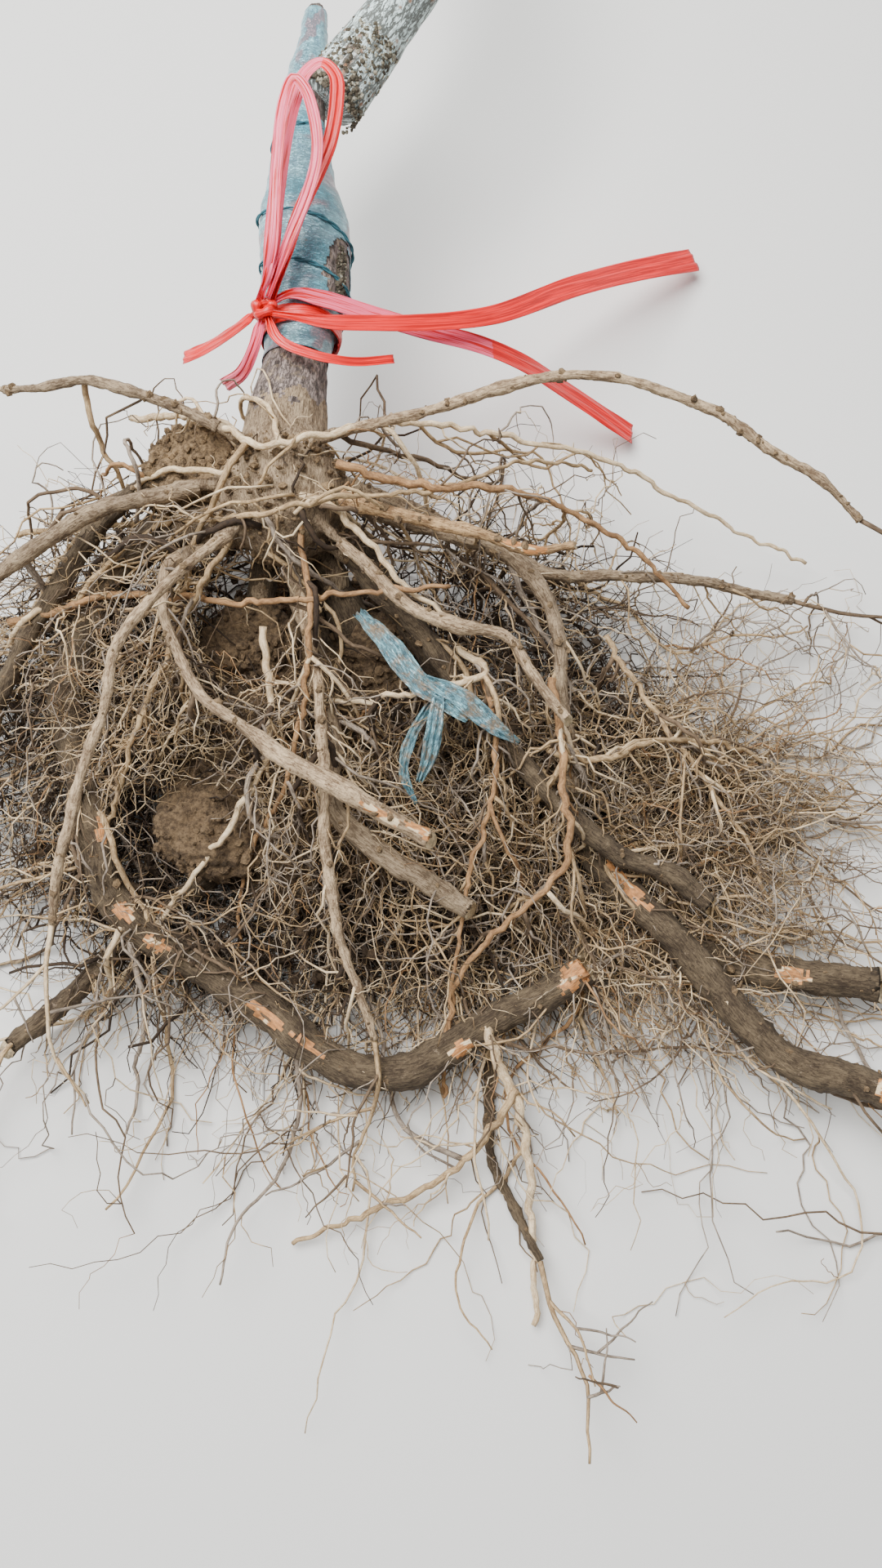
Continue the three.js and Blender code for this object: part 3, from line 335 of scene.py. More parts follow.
def spoke(degrees):
    """The direction across the trunk at an angle from the right"""
    angle = math.radians(degrees)
    return np.array([math.cos(angle), 0, math.sin(angle)])


def spokes_at(angle):
    """Directions across the trunk at many angles from the right"""
    return np.stack([np.cos(angle), 0 * angle, np.sin(angle)], axis=-1)


def direction(bearing, pitch):
    """The direction with a bearing in plan and a pitch above level, in degrees"""
    bearing, pitch = math.radians(bearing), math.radians(pitch)
    level = math.cos(pitch)
    return np.array([level * math.cos(bearing), level * math.sin(bearing), math.sin(pitch)])


def seeded(seed):
    """The plant's random generator, with the same numbers for the same seed"""
    state = seed * 2654435761 % 2**32

    def draw():
        nonlocal state
        state = (state * 1664525 + 1013904223) % 2**32
        return state / 2**32

    draw()
    draw()
    return draw


def noise(points, seed):
    """Smooth random values from -1 to 1, with features one unit apart"""
    cell = np.floor(points).astype(np.int64)
    part = ease(points - cell)
    total = np.zeros(points.shape[:-1])
    for corner in np.ndindex(2, 2, 2):
        key = (cell + corner) @ np.array([73856093, 19349663, 83492791]) + seed * 374761393
        key &= 0xFFFFFFFF
        key = (key ^ (key >> 13)) * 1274126177 & 0xFFFFFFFF
        value = (key ^ (key >> 16)) / 2**31 - 1
        total += value * np.prod(np.where(corner, part, 1 - part), axis=-1)
    return total


def rough(points, octaves, seed):
    """Noise with finer noise on it"""
    return sum(noise(points * 2**i, seed + i) / 2**i for i in range(octaves))


# Limbs, by the same rule as the solids

class Curve:
    """A smooth line through points, measured along its length"""
    DIVISIONS = 200
    NEARBY = 1e-4

    def __init__(self, points):
        points = np.asarray(points, float)
        self.count = len(points)
        self.points = np.vstack([2 * points[0] - points[1], points, 2 * points[-1] - points[-2]])
        self.gaps = np.linalg.norm(np.diff(self.points, axis=0), axis=1) ** 0.5
        self.steps = np.linspace(0, 1, self.DIVISIONS + 1)
        legs = np.linalg.norm(np.diff(self.place(self.steps), axis=0), axis=1)
        self.lengths = np.concatenate([[0], np.cumsum(legs)])

    def place(self, step):
        at = np.clip(step, 0, 1) * (self.count - 1)
        i = np.minimum(at.astype(int), self.count - 2)
        w = (at - i)[:, None]
        p0, p1, p2, p3 = (self.points[i + k] for k in range(4))
        d0, d1, d2 = (self.gaps[i + k][:, None] for k in range(3))
        m1 = ((p1 - p0) / d0 - (p2 - p0) / (d0 + d1) + (p2 - p1) / d1) * d1
        m2 = ((p2 - p1) / d1 - (p3 - p1) / (d1 + d2) + (p3 - p2) / d2) * d1
        return p1 + w * m1 + w**2 * (3 * p2 - 3 * p1 - 2 * m1 - m2) + w**3 * (2 * p1 - 2 * p2 + m1 + m2)

    def step_at(self, share):
        return np.interp(np.atleast_1d(share) * self.lengths[-1], self.lengths, self.steps)

    def at(self, share):
        places = self.place(self.step_at(share))
        return places if np.ndim(share) else places[0]

    def way(self, share):
        step = self.step_at(share)
        ways = unit(self.place(step + self.NEARBY) - self.place(step - self.NEARBY))
        return ways if np.ndim(share) else ways[0]


def radius_of(sizes, share):
    """A limb's radius at a share of its length"""
    return mix(sizes["thick"], sizes["thin"], share) * along(sizes["girth"], share)


def limb_points(sizes, start, step):
    """Points along a limb: it takes its turns, changes its pitch by dip, and wanders by its seed"""
    draw = seeded(sizes["seed"])
    phases = [draw() * math.tau for _ in range(4)]
    length = sizes["length"]
    count = max(3, int(length / step + 0.5))
    points = [np.array(start, float)]
    for i in range(count):
        t = (i + 0.5) / count
        waves = t * length / 60
        yaw = math.sin(waves * 2.1 + phases[0]) + 0.7 * math.sin(waves * 4.9 + phases[1])
        nod = 0.7 * math.sin(waves * 1.7 + phases[2]) + 0.4 * math.sin(waves * 4.1 + phases[3])
        wander = sizes["kink"] * ease(min(1, t * 4))
        turned = sum(by * ease(min(1, max(0, (t - at) / TURN_OVER + 0.5))) for at, by in sizes["turns"])
        way = direction(sizes["bearing"] + turned + yaw * wander,
                        sizes["pitch"] + sizes["dip"] * t + nod * wander)
        point = points[i] + way * length / count
        point[2] = max(point[2], radius_of(sizes, t) + FLOOR_GAP)
        points.append(point)
    return np.array(points)


def apart(a0, a1, b0, b1):
    """The shortest distances between straight pieces"""
    u = a1 - a0
    v = b1 - b0
    w = a0 - b0
    a, b, c, d, e = dot(u, u), dot(u, v), dot(v, v), dot(u, w), dot(v, w)
    slant = a * c - b * b
    s = np.where(slant > 1e-9, np.clip((b * e - c * d) / np.maximum(slant, 1e-9), 0, 1), 0)
    t = np.clip((b * s + e) / c, 0, 1)
    s = np.clip((b * t - d) / a, 0, 1)
    return np.linalg.norm(w + u * s[..., None] - v * t[..., None], axis=-1)


class Pieces:
    """Straight pieces with a radius, which stand for limbs when distances are measured"""

    def __init__(self):
        self.names = np.array([], str)
        self.a = np.zeros((0, 3))
        self.b = np.zeros((0, 3))
        self.radius = np.zeros(0)

    def add(self, name, a, b, radius):
        self.names = np.append(self.names, np.full(len(a), name))
        self.a = np.vstack([self.a, a])
        self.b = np.vstack([self.b, b])
        self.radius = np.append(self.radius, radius)

    def add_limb(self, sizes, curve):
        count = int(sizes["length"] / PIECE_STEP + 0.5)
        shares = np.arange(count + 1) / count
        places = curve.at(shares)
        self.add(sizes["name"], places[:-1], places[1:], radius_of(sizes, shares[:-1]))


def lay_over(sizes, points, pieces):
    """Raises a limb's points so that it passes over the limbs laid before it"""
    near = (pieces.names != "trunk") & (np.linalg.norm(pieces.a - FOOT_MIDDLE, axis=1) > FOOT_ZONE)
    lift = np.zeros(len(points))
    if not near.any():
        return points
    reach = radius_of(sizes, np.arange(1, len(points)) / len(points)) + LAYING["gap"]
    for _ in range(LAYING["rounds"]):
        raised = points + lift[:, None] * [0, 0, 1]
        gaps = apart(raised[:-1, None], raised[1:, None], pieces.a[near], pieces.b[near])
        short = np.maximum(0, np.max(pieces.radius[near] + reach[:, None] - gaps, axis=1))
        need = np.maximum(np.append(short, 0), np.append(0, short))
        lift[2:] += LAYING["share"] * need[2:]
        for i in range(2, len(lift)):
            lift[i] = max(lift[i], 0.5 * (lift[i - 1] + lift[min(i + 1, len(lift) - 1)]))
    return points + lift[:, None] * [0, 0, 1]


def trunk_at(distance):
    """Places on the trunk's middle line, by how far they lie from the collar"""
    distance = np.asarray(distance, float)
    height = COLLAR_HEIGHT + TRUNK_RISE * distance / STUB_END
    return np.stack([along(TRUNK_BEND, distance), distance, height], axis=-1)


def trunk_radius(distance):
    return along(TRUNK_PROFILE, distance)


def grow_limbs():
    """Every limb's curve by its name, and the pieces that stand for them"""
    curves = {}
    pieces = Pieces()
    places = np.arange(TRUNK_FOOT, STUB_END, PIECE_STEP)
    thickest = np.maximum(trunk_radius(places), trunk_radius(places + PIECE_STEP))
    pieces.add("trunk", trunk_at(places), trunk_at(places + PIECE_STEP), thickest + 2 * WRAP["thickness"])
    for root in MAIN_ROOTS:
        start = FOOT["depth"] * FOOT["half"] * spoke(root["side"]) + [0, -root["back"], COLLAR_HEIGHT]
        points = lay_over(root, limb_points(root, start, ROOT_STEP), pieces)
        curves[root["name"]] = Curve(points)
        pieces.add_limb(root, curves[root["name"]])
    start = trunk_at(SCION["leaves_at"]) + [SCION["aside"], 0, 0]
    stem = Curve(limb_points(SCION, start, SCION_STEP))
    curves["scion"] = stem
    pieces.add_limb(SCION, stem)
    for bough in BOUGHS:
        spread = math.radians(bough["spread"])
        way = unit(stem.way(bough["at"]) * math.cos(spread) + math.sin(spread) * spoke(bough["side"]))
        bough["bearing"] = math.degrees(math.atan2(way[1], way[0]))
        bough["pitch"] = math.degrees(math.asin(way[2]))
        curves[bough["name"]] = Curve(limb_points(bough, stem.at(bough["at"]), BOUGH_STEP))
        pieces.add_limb(bough, curves[bough["name"]])
    return curves, pieces


CURVES, PIECES = grow_limbs()
LIMBS = {sizes["name"]: sizes for sizes in [*MAIN_ROOTS, SCION, *BOUGHS]}


def in_soil(points, margin=SOIL_MARGIN, swell=SOIL_SWELL):
    inside = np.zeros(points.shape[:-1], bool)
    for middle, half in SOIL_LUMPS:
        inside |= off_centre(points, middle, np.array(half) + margin) < swell
    return inside


def mass_stem(spec):
    """Where a mass's stem starts, which way it goes, and the middle of the mass's own space"""
    if spec["on"] == "trunk":
        shrink = math.sqrt(1 - ((FOOT["back"] - spec["back"]) / FOOT["half"][1]) ** 2)
        start = FOOT["half"] * spoke(spec["side"]) * shrink + [0, -spec["back"], COLLAR_HEIGHT]
        way = direction(*spec["heading"])
    else:
        start = CURVES[spec["on"]].at(1)
        way = direction(*spec["heading"]) if spec["heading"] else CURVES[spec["on"]].way(1)
    start = start + way * WRAP["gap"]
    return start, way, start + way * spec["out"]


def grow_mass(spec, rule, stems):
    """A mass's shoots, as (order, points): its stem and all that forks from it, inside its own space"""
    start, way, centre = stems[spec["name"]]
    others = np.array([stem[2] for name, stem in stems.items() if name != spec["name"]])
    shoots = []

    def free(a, b, radius, skip):
        far = np.linalg.norm(b - centre)
        if b[2] < radius + FLOOR_GAP or far > spec["reach"] or in_soil(b):
            return False
        if np.any(np.linalg.norm(others - b, axis=1) < far + 2 * (radius + rule["margin"])):
            return False
        near = apart(a, b, PIECES.a, PIECES.b) < PIECES.radius + radius + rule["margin"]
        return not np.any(near & (PIECES.names != skip))

    def shoot_points(order, origin, heading, draw, size):
        joints = rule["joints"][order]
        radius = rule["radius"][order]
        points = [origin]
        line = heading
        for i in range(joints):
            bend = np.array([(draw() - 0.5) * 2, (draw() - 0.5) * 2, (draw() - 0.5) * 1.4])
            line = unit(line + rule["wander"] * bend)
            after = points[i] + line * rule["length"][order] * size / joints
            after[2] = max(after[2], radius + FLOOR_GAP + 1)
            if not free(points[i], after, radius, spec["on"] if order == 0 and i == 0 else ""):
                break
            points.append(after)
        return points

    def grow_shoot(order, origin, heading, seed, size):
        points = []
        for trial in range(rule["tries"] if order == 0 else 1):
            if len(points) > rule["joints"][order]:
                break
            found = shoot_points(order, origin, heading, seeded(seed + trial * 97), size)
            if len(found) > len(points):
                points = found
        if len(points) < 2:
            return
        if len(points) == 2:
            points.insert(1, 0.5 * (points[0] + points[1]))
        shoots.append((order, np.array(points)))
        draw = seeded(seed + 7)
        path = Curve(points)
        for k in range(rule["forks"][order]):
            share = min((k + 0.8) / rule["forks"][order], 0.97)
            out = path.way(share)
            aside = unit(np.cross([draw() - 0.5, draw() - 0.5, draw() - 0.5], out))
            angle = math.radians(rule["spread"][order + 1] * (0.7 + 0.6 * draw()))
            fork = out * math.cos(angle) + aside * math.sin(angle)
            grow_shoot(order + 1, path.at(share), fork, seed * 13 + k + 1, size * (0.8 + 0.4 * draw()))

    grow_shoot(0, start, way, spec["seed"], 1)
    return shoots


def grow_masses(specs, rule):
    stems = {spec["name"]: mass_stem(spec) for spec in specs}
    return {spec["name"]: grow_mass(spec, rule, stems) for spec in specs}


# Where the plant lies in the shared frame

def knot_middle():
    """The ribbon's knot in the plant's own millimetres, worked out from its seat on the trunk"""
    out = trunk_radius(RIBBON["band_at"]) + 3 * WRAP["gap"] + WRAP["thickness"]
    out += RIBBON["thickness"] + RIBBON["knot_radius"]
    return trunk_at(RIBBON["band_at"]) + out * spoke(RIBBON["knot_angle"])


KNOT = knot_middle()
KNOT_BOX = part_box("ribbon_knot")
SHIFT = np.array((KNOT_BOX[0] + KNOT_BOX[1]) / 2) / MM - KNOT
LOWEST = np.array(CAD_BOX[0]) / MM - SHIFT
HIGHEST = np.array(CAD_BOX[1]) / MM - SHIFT


def placed(point):
    """A point of the plant in the frame's metres"""
    return (np.array(point) + SHIFT) * MM


# Meshes from arrays

def carried(first, ways):
    """Unit vectors across and over many lines, carried along their ways (n, k, 3) without twisting"""
    across = [unit(first)]
    for k in range(1, ways.shape[1]):
        across.append(square_to(across[-1], ways[:, k]))
    across = np.stack(across, axis=1)
    return across, np.cross(across, ways)


def frames(lines):
    """Unit vectors along, across and over many lines (n, k, 3)"""
    ways = unit(np.gradient(lines, axis=1))
    helper = np.where(np.abs(ways[:, :1, 2:]) < 0.9, [[[0.0, 0.0, 1.0]]], [[[1.0, 0.0, 0.0]]])[:, 0]
    return ways, *carried(np.cross(ways[:, 0], helper), ways)


def loft(rings, grain):
    """Closed skins through rings of corners (n, k, sides, 3): corners, faces with both caps, and grain"""
    n, k, sides = rings.shape[:3]
    index = np.arange(n * k * sides).reshape(n, k, sides)
    beside = np.roll(index, -1, axis=2)
    skin = np.stack([index[:, :-1], index[:, 1:], beside[:, 1:], beside[:, :-1]], axis=-1).reshape(-1, 4)
    return rings.reshape(-1, 3), [skin, index[:, 0], index[:, -1, ::-1]], grain.reshape(-1, 3)


def sweep(lines, radii, sides, relief=None, slant=0.0):
    """Round skins along lines: their corners, faces, and each corner's place in the grain"""
    lines = lines if lines.ndim == 3 else lines[None]
    radii = np.broadcast_to(np.asarray(radii, float), lines.shape[:2])
    ways, across, over = frames(lines)
    angle = np.arange(sides) * math.tau / sides
    cos, sin = np.cos(angle), np.sin(angle)
    legs = np.linalg.norm(np.diff(lines, axis=1), axis=2)
    lengths = np.concatenate([np.zeros((len(lines), 1)), np.cumsum(legs, axis=1)], axis=1)
    middle = radii.mean(axis=1)[:, None, None] * np.ones_like(radii)[..., None]
    grain = np.stack([middle * cos, middle * sin, lengths[..., None] * np.ones(sides)], axis=-1)
    grain += np.arange(len(lines))[:, None, None, None] * [37.0, 11.0, 5.0]
    thick = radii[..., None] + (relief(grain) if relief else 0)
    spokes = across[:, :, None] * cos[:, None] + over[:, :, None] * sin[:, None]
    rings = lines[:, :, None] + spokes * thick[..., None]
    rings[:, -1] -= ways[:, -1, None] * (slant * radii[:, -1, None] * spokes[:, -1, :, 2])[..., None]
    return loft(rings, grain)


def joined(parts):
    """Several (corners, faces, grain) as one"""
    corners, faces, grain = [], [], []
    count = 0
    for part_corners, part_faces, part_grain in parts:
        corners.append(part_corners)
        faces.extend(face + count for face in part_faces)
        grain.append(part_grain)
        count += len(part_corners)
    return np.concatenate(corners), faces, np.concatenate(grain)


def add_object(name, data):
    obj = bpy.data.objects.new(name, data)
    bpy.context.scene.collection.objects.link(obj)
    return obj


def evaluated_mesh(obj):
    """An object's mesh with its modifiers applied"""
    bpy.context.view_layer.update()
    return bpy.data.meshes.new_from_object(obj.evaluated_get(bpy.context.evaluated_depsgraph_get()))


def add_mesh(name, shape, finishes, replaces=(), picks=None, smooth=True):
    """An object of the plant from (corners in millimetres, faces, grain); picks are finishes by face"""
    corners, faces, grain = shape
    corners = np.clip(corners, LOWEST + 0.1, HIGHEST - 0.1)
    mesh = bpy.data.meshes.new(name)
    mesh.vertices.add(len(corners))
    mesh.vertices.foreach_set("co", placed(corners).astype(np.float32).ravel())
    loops = np.concatenate([face.ravel() for face in faces])
    totals = np.concatenate([np.full(len(face), face.shape[1]) for face in faces])
    mesh.loops.add(len(loops))
    mesh.loops.foreach_set("vertex_index", loops.astype(np.int32))
    mesh.polygons.add(len(totals))
    mesh.polygons.foreach_set("loop_start", (np.cumsum(totals) - totals).astype(np.int32))
    mesh.update(calc_edges=True)
    set_grain(mesh, grain)
    for finish in finishes:
        mesh.materials.append(finish)
    if picks is not None:
        mesh.polygons.foreach_set("material_index", picks.astype(np.int32))
    mesh.polygons.foreach_set("use_smooth", np.full(len(totals), smooth))
    mesh.validate()
    obj = add_object(name, mesh)
    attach(obj, "root")
    if replaces:
        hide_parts(*replaces)
    return obj


def set_grain(mesh, grain):
    """Stores each corner's place along and round its limb, in metres, for the patterns to follow"""
    made = mesh.attributes.new("grain", "FLOAT_VECTOR", "POINT")
    made.data.foreach_set("vector", (grain * MM).astype(np.float32).ravel())


def remeshed(name, shape, voxel):
    """Shapes that run into one another, fused into one skin: (corners, faces, grain)"""
    corners, faces, _ = shape
    mesh = bpy.data.meshes.new(name)
    polygons = [tuple(face) for group in faces for face in group.tolist()]
    mesh.from_pydata(corners.tolist(), [], polygons)
    obj = add_object(name, mesh)
    fused = obj.modifiers.new("fuse", "REMESH")
    fused.mode = "VOXEL"
    fused.voxel_size = voxel
    smooth = obj.modifiers.new("smooth", "SMOOTH")
    smooth.iterations = 6
    made = evaluated_mesh(obj)
    bpy.data.objects.remove(obj)
    corners = np.zeros(len(made.vertices) * 3, np.float32)
    made.vertices.foreach_get("co", corners)
    normals = np.zeros(len(made.vertices) * 3, np.float32)
    made.vertex_normals.foreach_get("vector", normals)
    quads = np.array([polygon.vertices[:] for polygon in made.polygons])
    return corners.reshape(-1, 3).astype(float), [quads], normals.reshape(-1, 3).astype(float)


# Finishes

class Nodes:
    """Adds nodes to a tree, with values or links for their inputs"""

    def __init__(self, tree):
        self.tree = tree

    def add(self, kind, inputs=None, **settings):
        node = self.tree.nodes.new(kind)
        for key, value in settings.items():
            setattr(node, key, value)
        for key, value in (inputs or {}).items():
            self.feed(node.inputs[key], value)
        return node

    def feed(self, socket, value):
        if isinstance(value, bpy.types.NodeSocket):
            self.tree.links.new(value, socket)
        elif socket.type == "RGBA" and len(value) == 3:
            socket.default_value = (*value, 1)
        else:
            socket.default_value = value

    def math(self, operation, a, b=0.0):
        return self.add("ShaderNodeMath", {0: a, 1: b}, operation=operation).outputs[0]

    def times(self, a, b):
        return self.math("MULTIPLY", a, b)

    def plus(self, a, b):
        return self.math("ADD", a, b)

    def minus(self, a, b):
        return self.math("SUBTRACT", a, b)

    def between(self, value, low, high, to_low=0.0, to_high=1.0):
        node = self.add("ShaderNodeMapRange", {"Value": value, "From Min": low, "From Max": high,
                                               "To Min": to_low, "To Max": to_high})
        return node.outputs[0]

    def blend(self, share, a, b):
        node = self.add("ShaderNodeMix", data_type="RGBA")
        self.feed(node.inputs["Factor"], share)
        self.feed(node.inputs[6], a)
        self.feed(node.inputs[7], b)
        return node.outputs[2]

    def grain(self, size, stretch):
        """The grain's coordinates, counted in features of that size that are stretched along the limb"""
        place = self.add("ShaderNodeAttribute", attribute_name="grain").outputs["Vector"]
        thin = self.math("DIVIDE", 1.0, size)
        long = self.math("DIVIDE", thin, stretch)
        scale = self.add("ShaderNodeCombineXYZ", {"X": thin, "Y": thin, "Z": long}).outputs[0]
        return self.add("ShaderNodeVectorMath", {0: place, 1: scale}, operation="MULTIPLY").outputs[0]

    def noise(self, place, detail, scale=1.0, roughness=0.55):
        inputs = {"Vector": place, "Scale": scale, "Detail": detail, "Roughness": roughness}
        return self.add("ShaderNodeTexNoise", inputs).outputs["Fac"]


def make_group(name, inputs, outputs, fill):
    """A shader node group with named inputs and outputs"""
    tree = bpy.data.node_groups.new(name, "ShaderNodeTree")
    for in_out, labels in (("INPUT", inputs), ("OUTPUT", outputs)):
        for label in labels:
            kind = "NodeSocketColor" if label in COLOUR_SOCKETS else "NodeSocketFloat"
            tree.interface.new_socket(label, in_out=in_out, socket_type=kind)
    nodes = Nodes(tree)
    entry = nodes.add("NodeGroupInput").outputs
    results = fill(nodes, entry)
    nodes.add("NodeGroupOutput", results)
    return tree


def fill_mottle(nodes, entry):
    """Patches between a light and a dark colour, with an accent here and there"""
    place = nodes.grain(entry["Size"], entry["Stretch"])
    patches = nodes.between(nodes.noise(place, 5.0), 0.36, 0.64)
    colour = nodes.blend(patches, entry["Dark"], entry["Light"])
    rare = nodes.noise(place, 2.0, 0.31)
    edge = nodes.minus(0.72, nodes.times(entry["Accent share"], 0.5))
    accents = nodes.between(rare, edge, nodes.plus(edge, 0.05))
    return {"Color": nodes.blend(accents, colour, entry["Accent"])}


def fill_root_skin(nodes, entry):
    """A root's skin: fine streaks, darker and paler lengths, wrinkles along it and creases round it"""
    fine = nodes.noise(nodes.grain(entry["Size"], 2.6), 9.0, 1.0, 0.74)
    broad = nodes.noise(nodes.grain(nodes.times(entry["Size"], 8.0), 1.6), 4.0)
    shade = nodes.plus(fine, nodes.times(nodes.minus(broad, 0.5), 0.7))
    wrinkles = nodes.noise(nodes.grain(entry["Size"], 7.0), 4.0)
    crease = nodes.math("ABSOLUTE", nodes.minus(wrinkles, 0.5))
    dark = nodes.between(crease, 0.0, 0.045, 0.22, 0.0)
    paleness = nodes.between(nodes.minus(shade, dark), 0.3, 0.68)
    colour = nodes.blend(paleness, entry["Dark"], entry["Light"])
    rings = nodes.noise(nodes.grain(nodes.times(entry["Size"], 2.2), 0.3), 3.0)
    height = nodes.plus(nodes.times(rings, 0.5), nodes.plus(fine, wrinkles))
    return {"Color": colour, "Height": height}


def fill_furrows(nodes, entry):
    """Cracks that run along the limb and fork, and the height of the bark between them"""
    place = nodes.grain(entry["Size"], entry["Stretch"])
    folds = nodes.math("ABSOLUTE", nodes.minus(nodes.noise(place, 5.0, 1.0, 0.62), 0.5))
    ridge = nodes.between(folds, 0.0, entry["Width"])
    fine = nodes.noise(place, 4.0, 3.1)
    height = nodes.plus(nodes.times(ridge, 0.6), nodes.times(fine, 0.4))
    return {"Crack": nodes.minus(1.0, ridge), "Height": height}


def fill_dust(nodes, entry):
    """Soil dust that lies on what faces up and gathers in patches"""
    place = nodes.add("ShaderNodeTexCoord").outputs["Object"]
    size = nodes.math("DIVIDE", 1.0, entry["Size"])
    patches = nodes.noise(place, 6.0, size, 0.7)
    normal = nodes.add("ShaderNodeNewGeometry").outputs["Normal"]
    upward = nodes.add("ShaderNodeSeparateXYZ", {0: normal}).outputs["Z"]
    lean = nodes.times(nodes.between(upward, -0.4, 1.0), 0.12)
    edge = nodes.minus(0.78, nodes.plus(lean, nodes.times(entry["Amount"], 0.45)))
    mask = nodes.between(patches, edge, nodes.plus(edge, 0.14))
    return {"Color": nodes.blend(mask, entry["Color"], entry["Dust"])}


def fill_dots(nodes, entry):
    """Small raised dots set apart over a skin"""
    place = nodes.grain(entry["Size"], entry["Stretch"])
    cells = nodes.add("ShaderNodeTexVoronoi", {"Vector": place, "Scale": 1.0, "Randomness": 1.0})
    core = nodes.times(entry["Width"], 0.5)
    return {"Mask": nodes.between(cells.outputs["Distance"], entry["Width"], core)}


COLOUR_SOCKETS = ("Light", "Dark", "Accent", "Color", "Dust")
GROUPS = {
    "mottle": (["Light", "Dark", "Accent", "Accent share", "Size", "Stretch"], ["Color"], fill_mottle),
    "root skin": (["Light", "Dark", "Size"], ["Color", "Height"], fill_root_skin),
    "furrows": (["Size", "Stretch", "Width"], ["Crack", "Height"], fill_furrows),
    "soil dust": (["Color", "Dust", "Amount", "Size"], ["Color"], fill_dust),
    "dots": (["Size", "Stretch", "Width"], ["Mask"], fill_dots),
}


class Finish(Nodes):
    """A material with one Principled shader"""

    def __init__(self, name, roughness):
        self.material = bpy.data.materials.new(name)
        self.material.use_nodes = True
        super().__init__(self.material.node_tree)
        self.shader = self.tree.nodes["Principled BSDF"]
        self.shader.inputs["Roughness"].default_value = roughness

    def group(self, name, inputs):
        tree = bpy.data.node_groups.get(name)
        if tree is None:
            tree = make_group(name, *GROUPS[name])
        node = self.tree.nodes.new("ShaderNodeGroup")
        node.node_tree = tree
        for key, value in inputs.items():
            self.feed(node.inputs[key], value)
        return node.outputs

    def colour(self, value):
        self.feed(self.shader.inputs["Base Color"], value)

    def bump(self, height, distance):
        inputs = {"Height": height, "Distance": distance}
        self.feed(self.shader.inputs["Normal"], self.add("ShaderNodeBump", inputs).outputs["Normal"])

    def mottle(self, light, dark, accent, share, size, stretch):
        inputs = {"Light": light, "Dark": dark, "Accent": accent, "Accent share": share, "Size": size,
                  "Stretch": stretch}
        return self.group("mottle", inputs)["Color"]

    def furrows(self, size, stretch, width):
        return self.group("furrows", {"Size": size, "Stretch": stretch, "Width": width})

    def dots(self, size, stretch, width):
        return self.group("dots", {"Size": size, "Stretch": stretch, "Width": width})["Mask"]

    def coat(self, weight, roughness):
        self.shader.inputs["Coat Weight"].default_value = weight
        self.shader.inputs["Coat Roughness"].default_value = roughness

    def dusted(self, colour, dust, amount, size=0.008):
        inputs = {"Color": colour, "Dust": dust, "Amount": amount, "Size": size}
        return self.group("soil dust", inputs)["Color"]


def colours():
    return bpy.context.scene.sapling_colours


def panel_size(name):
    """One of the panel's sizes, in millimetres"""
    return getattr(bpy.context.scene.sapling_sizes, name) / MM


CRACK_WIDTH = 0.05  # of cracks in bark, as a share of how strong the noise is that makes them


def bark_finish(name, skin, size, stretch, cracks, dust, depth=0.0009):
    """Bark with cracks and soil dust; skin is its light, dark and accent colour, and the last's share"""
    light, dark, accent, share = skin
    made = Finish(name, 0.86)
    patches = made.mottle(light, dark, accent, share, size * 2.2, 0.5 * stretch)
    furrows = made.furrows(size, stretch, CRACK_WIDTH)
    shaded = made.blend(made.times(furrows["Crack"], cracks), patches, scaled(dark, 0.4))
    made.colour(made.dusted(shaded, colours().dust, dust))
    made.bump(furrows["Height"], depth)
    return made.material


def tone(colour, other, share):
    """The colour that lies a share of the way from one to another"""
    return mix(np.array(colour), np.array(other), share)


def scaled(colour, *by):
    """A colour made darker or lighter, by one factor or by one for each channel"""
    return tuple(np.array(colour) * (by[0] if len(by) == 1 else np.array(by)))


def root_finish(name, tint, dust):
    """Wrinkled, grainy bark of a root; tint multiplies its colours"""
    c = colours()
    made = Finish(name, 0.92)
    light, dark = scaled(c.root_light, *tint), scaled(c.root_dark, *tint)
    skin = made.group("root skin", {"Light": light, "Dark": dark, "Size": 0.0017})
    made.colour(made.dusted(skin["Color"], c.dust, dust, 0.005))
    made.bump(skin["Height"], 0.0012)
    return made.material


def bare_wood_finish(name, light, dark):
    """Wood that the spade laid bare"""
    made = Finish(name, 0.7)
    skin = made.mottle(light, dark, colours().cut_wood, share=0.3, size=0.0016, stretch=2.5)
    made.colour(made.dusted(skin, colours().soil_light, 0.2, 0.004))
    made.bump(made.noise(made.grain(0.0009, 6.0), 4.0), 0.0008)
    return made.material


def fibre_finish(name, light, dark):
    """A thin root's skin, streaked in two tones"""
    made = Finish(name, 0.9)
    made.colour(made.group("root skin", {"Light": light, "Dark": dark, "Size": 0.0013})["Color"])
    return made.material


# Trunk, scion and boughs

def fractions(sizes, spacing):
    return np.linspace(0, 1, int(sizes["length"] / spacing) + 1)


def wide(angle, place):
    """How much wider than high the trunk is"""
    swell = SWELLING["by"] * np.exp(-(((place - SWELLING["at"]) / SWELLING["over"]) ** 2))
    return 1 + swell * np.cos(2 * angle)


def trunk_skin(low, high, spacing, sides, relief=None):
    """A skin round the trunk's own line: rings of corners, and each corner's place in the grain"""
    places = np.linspace(low, high, int((high - low) / spacing) + 1)
    angle = np.arange(sides) * math.tau / sides
    radius = trunk_radius(places)[:, None] * wide(angle, places[:, None])
    grain = np.stack([radius * np.cos(angle), radius * np.sin(angle), places[:, None] + 0 * angle], axis=-1)
    if relief:
        radius = radius + relief(angle, places[:, None], grain)
    return trunk_at(places)[:, None] + spokes_at(angle) * radius[..., None], grain


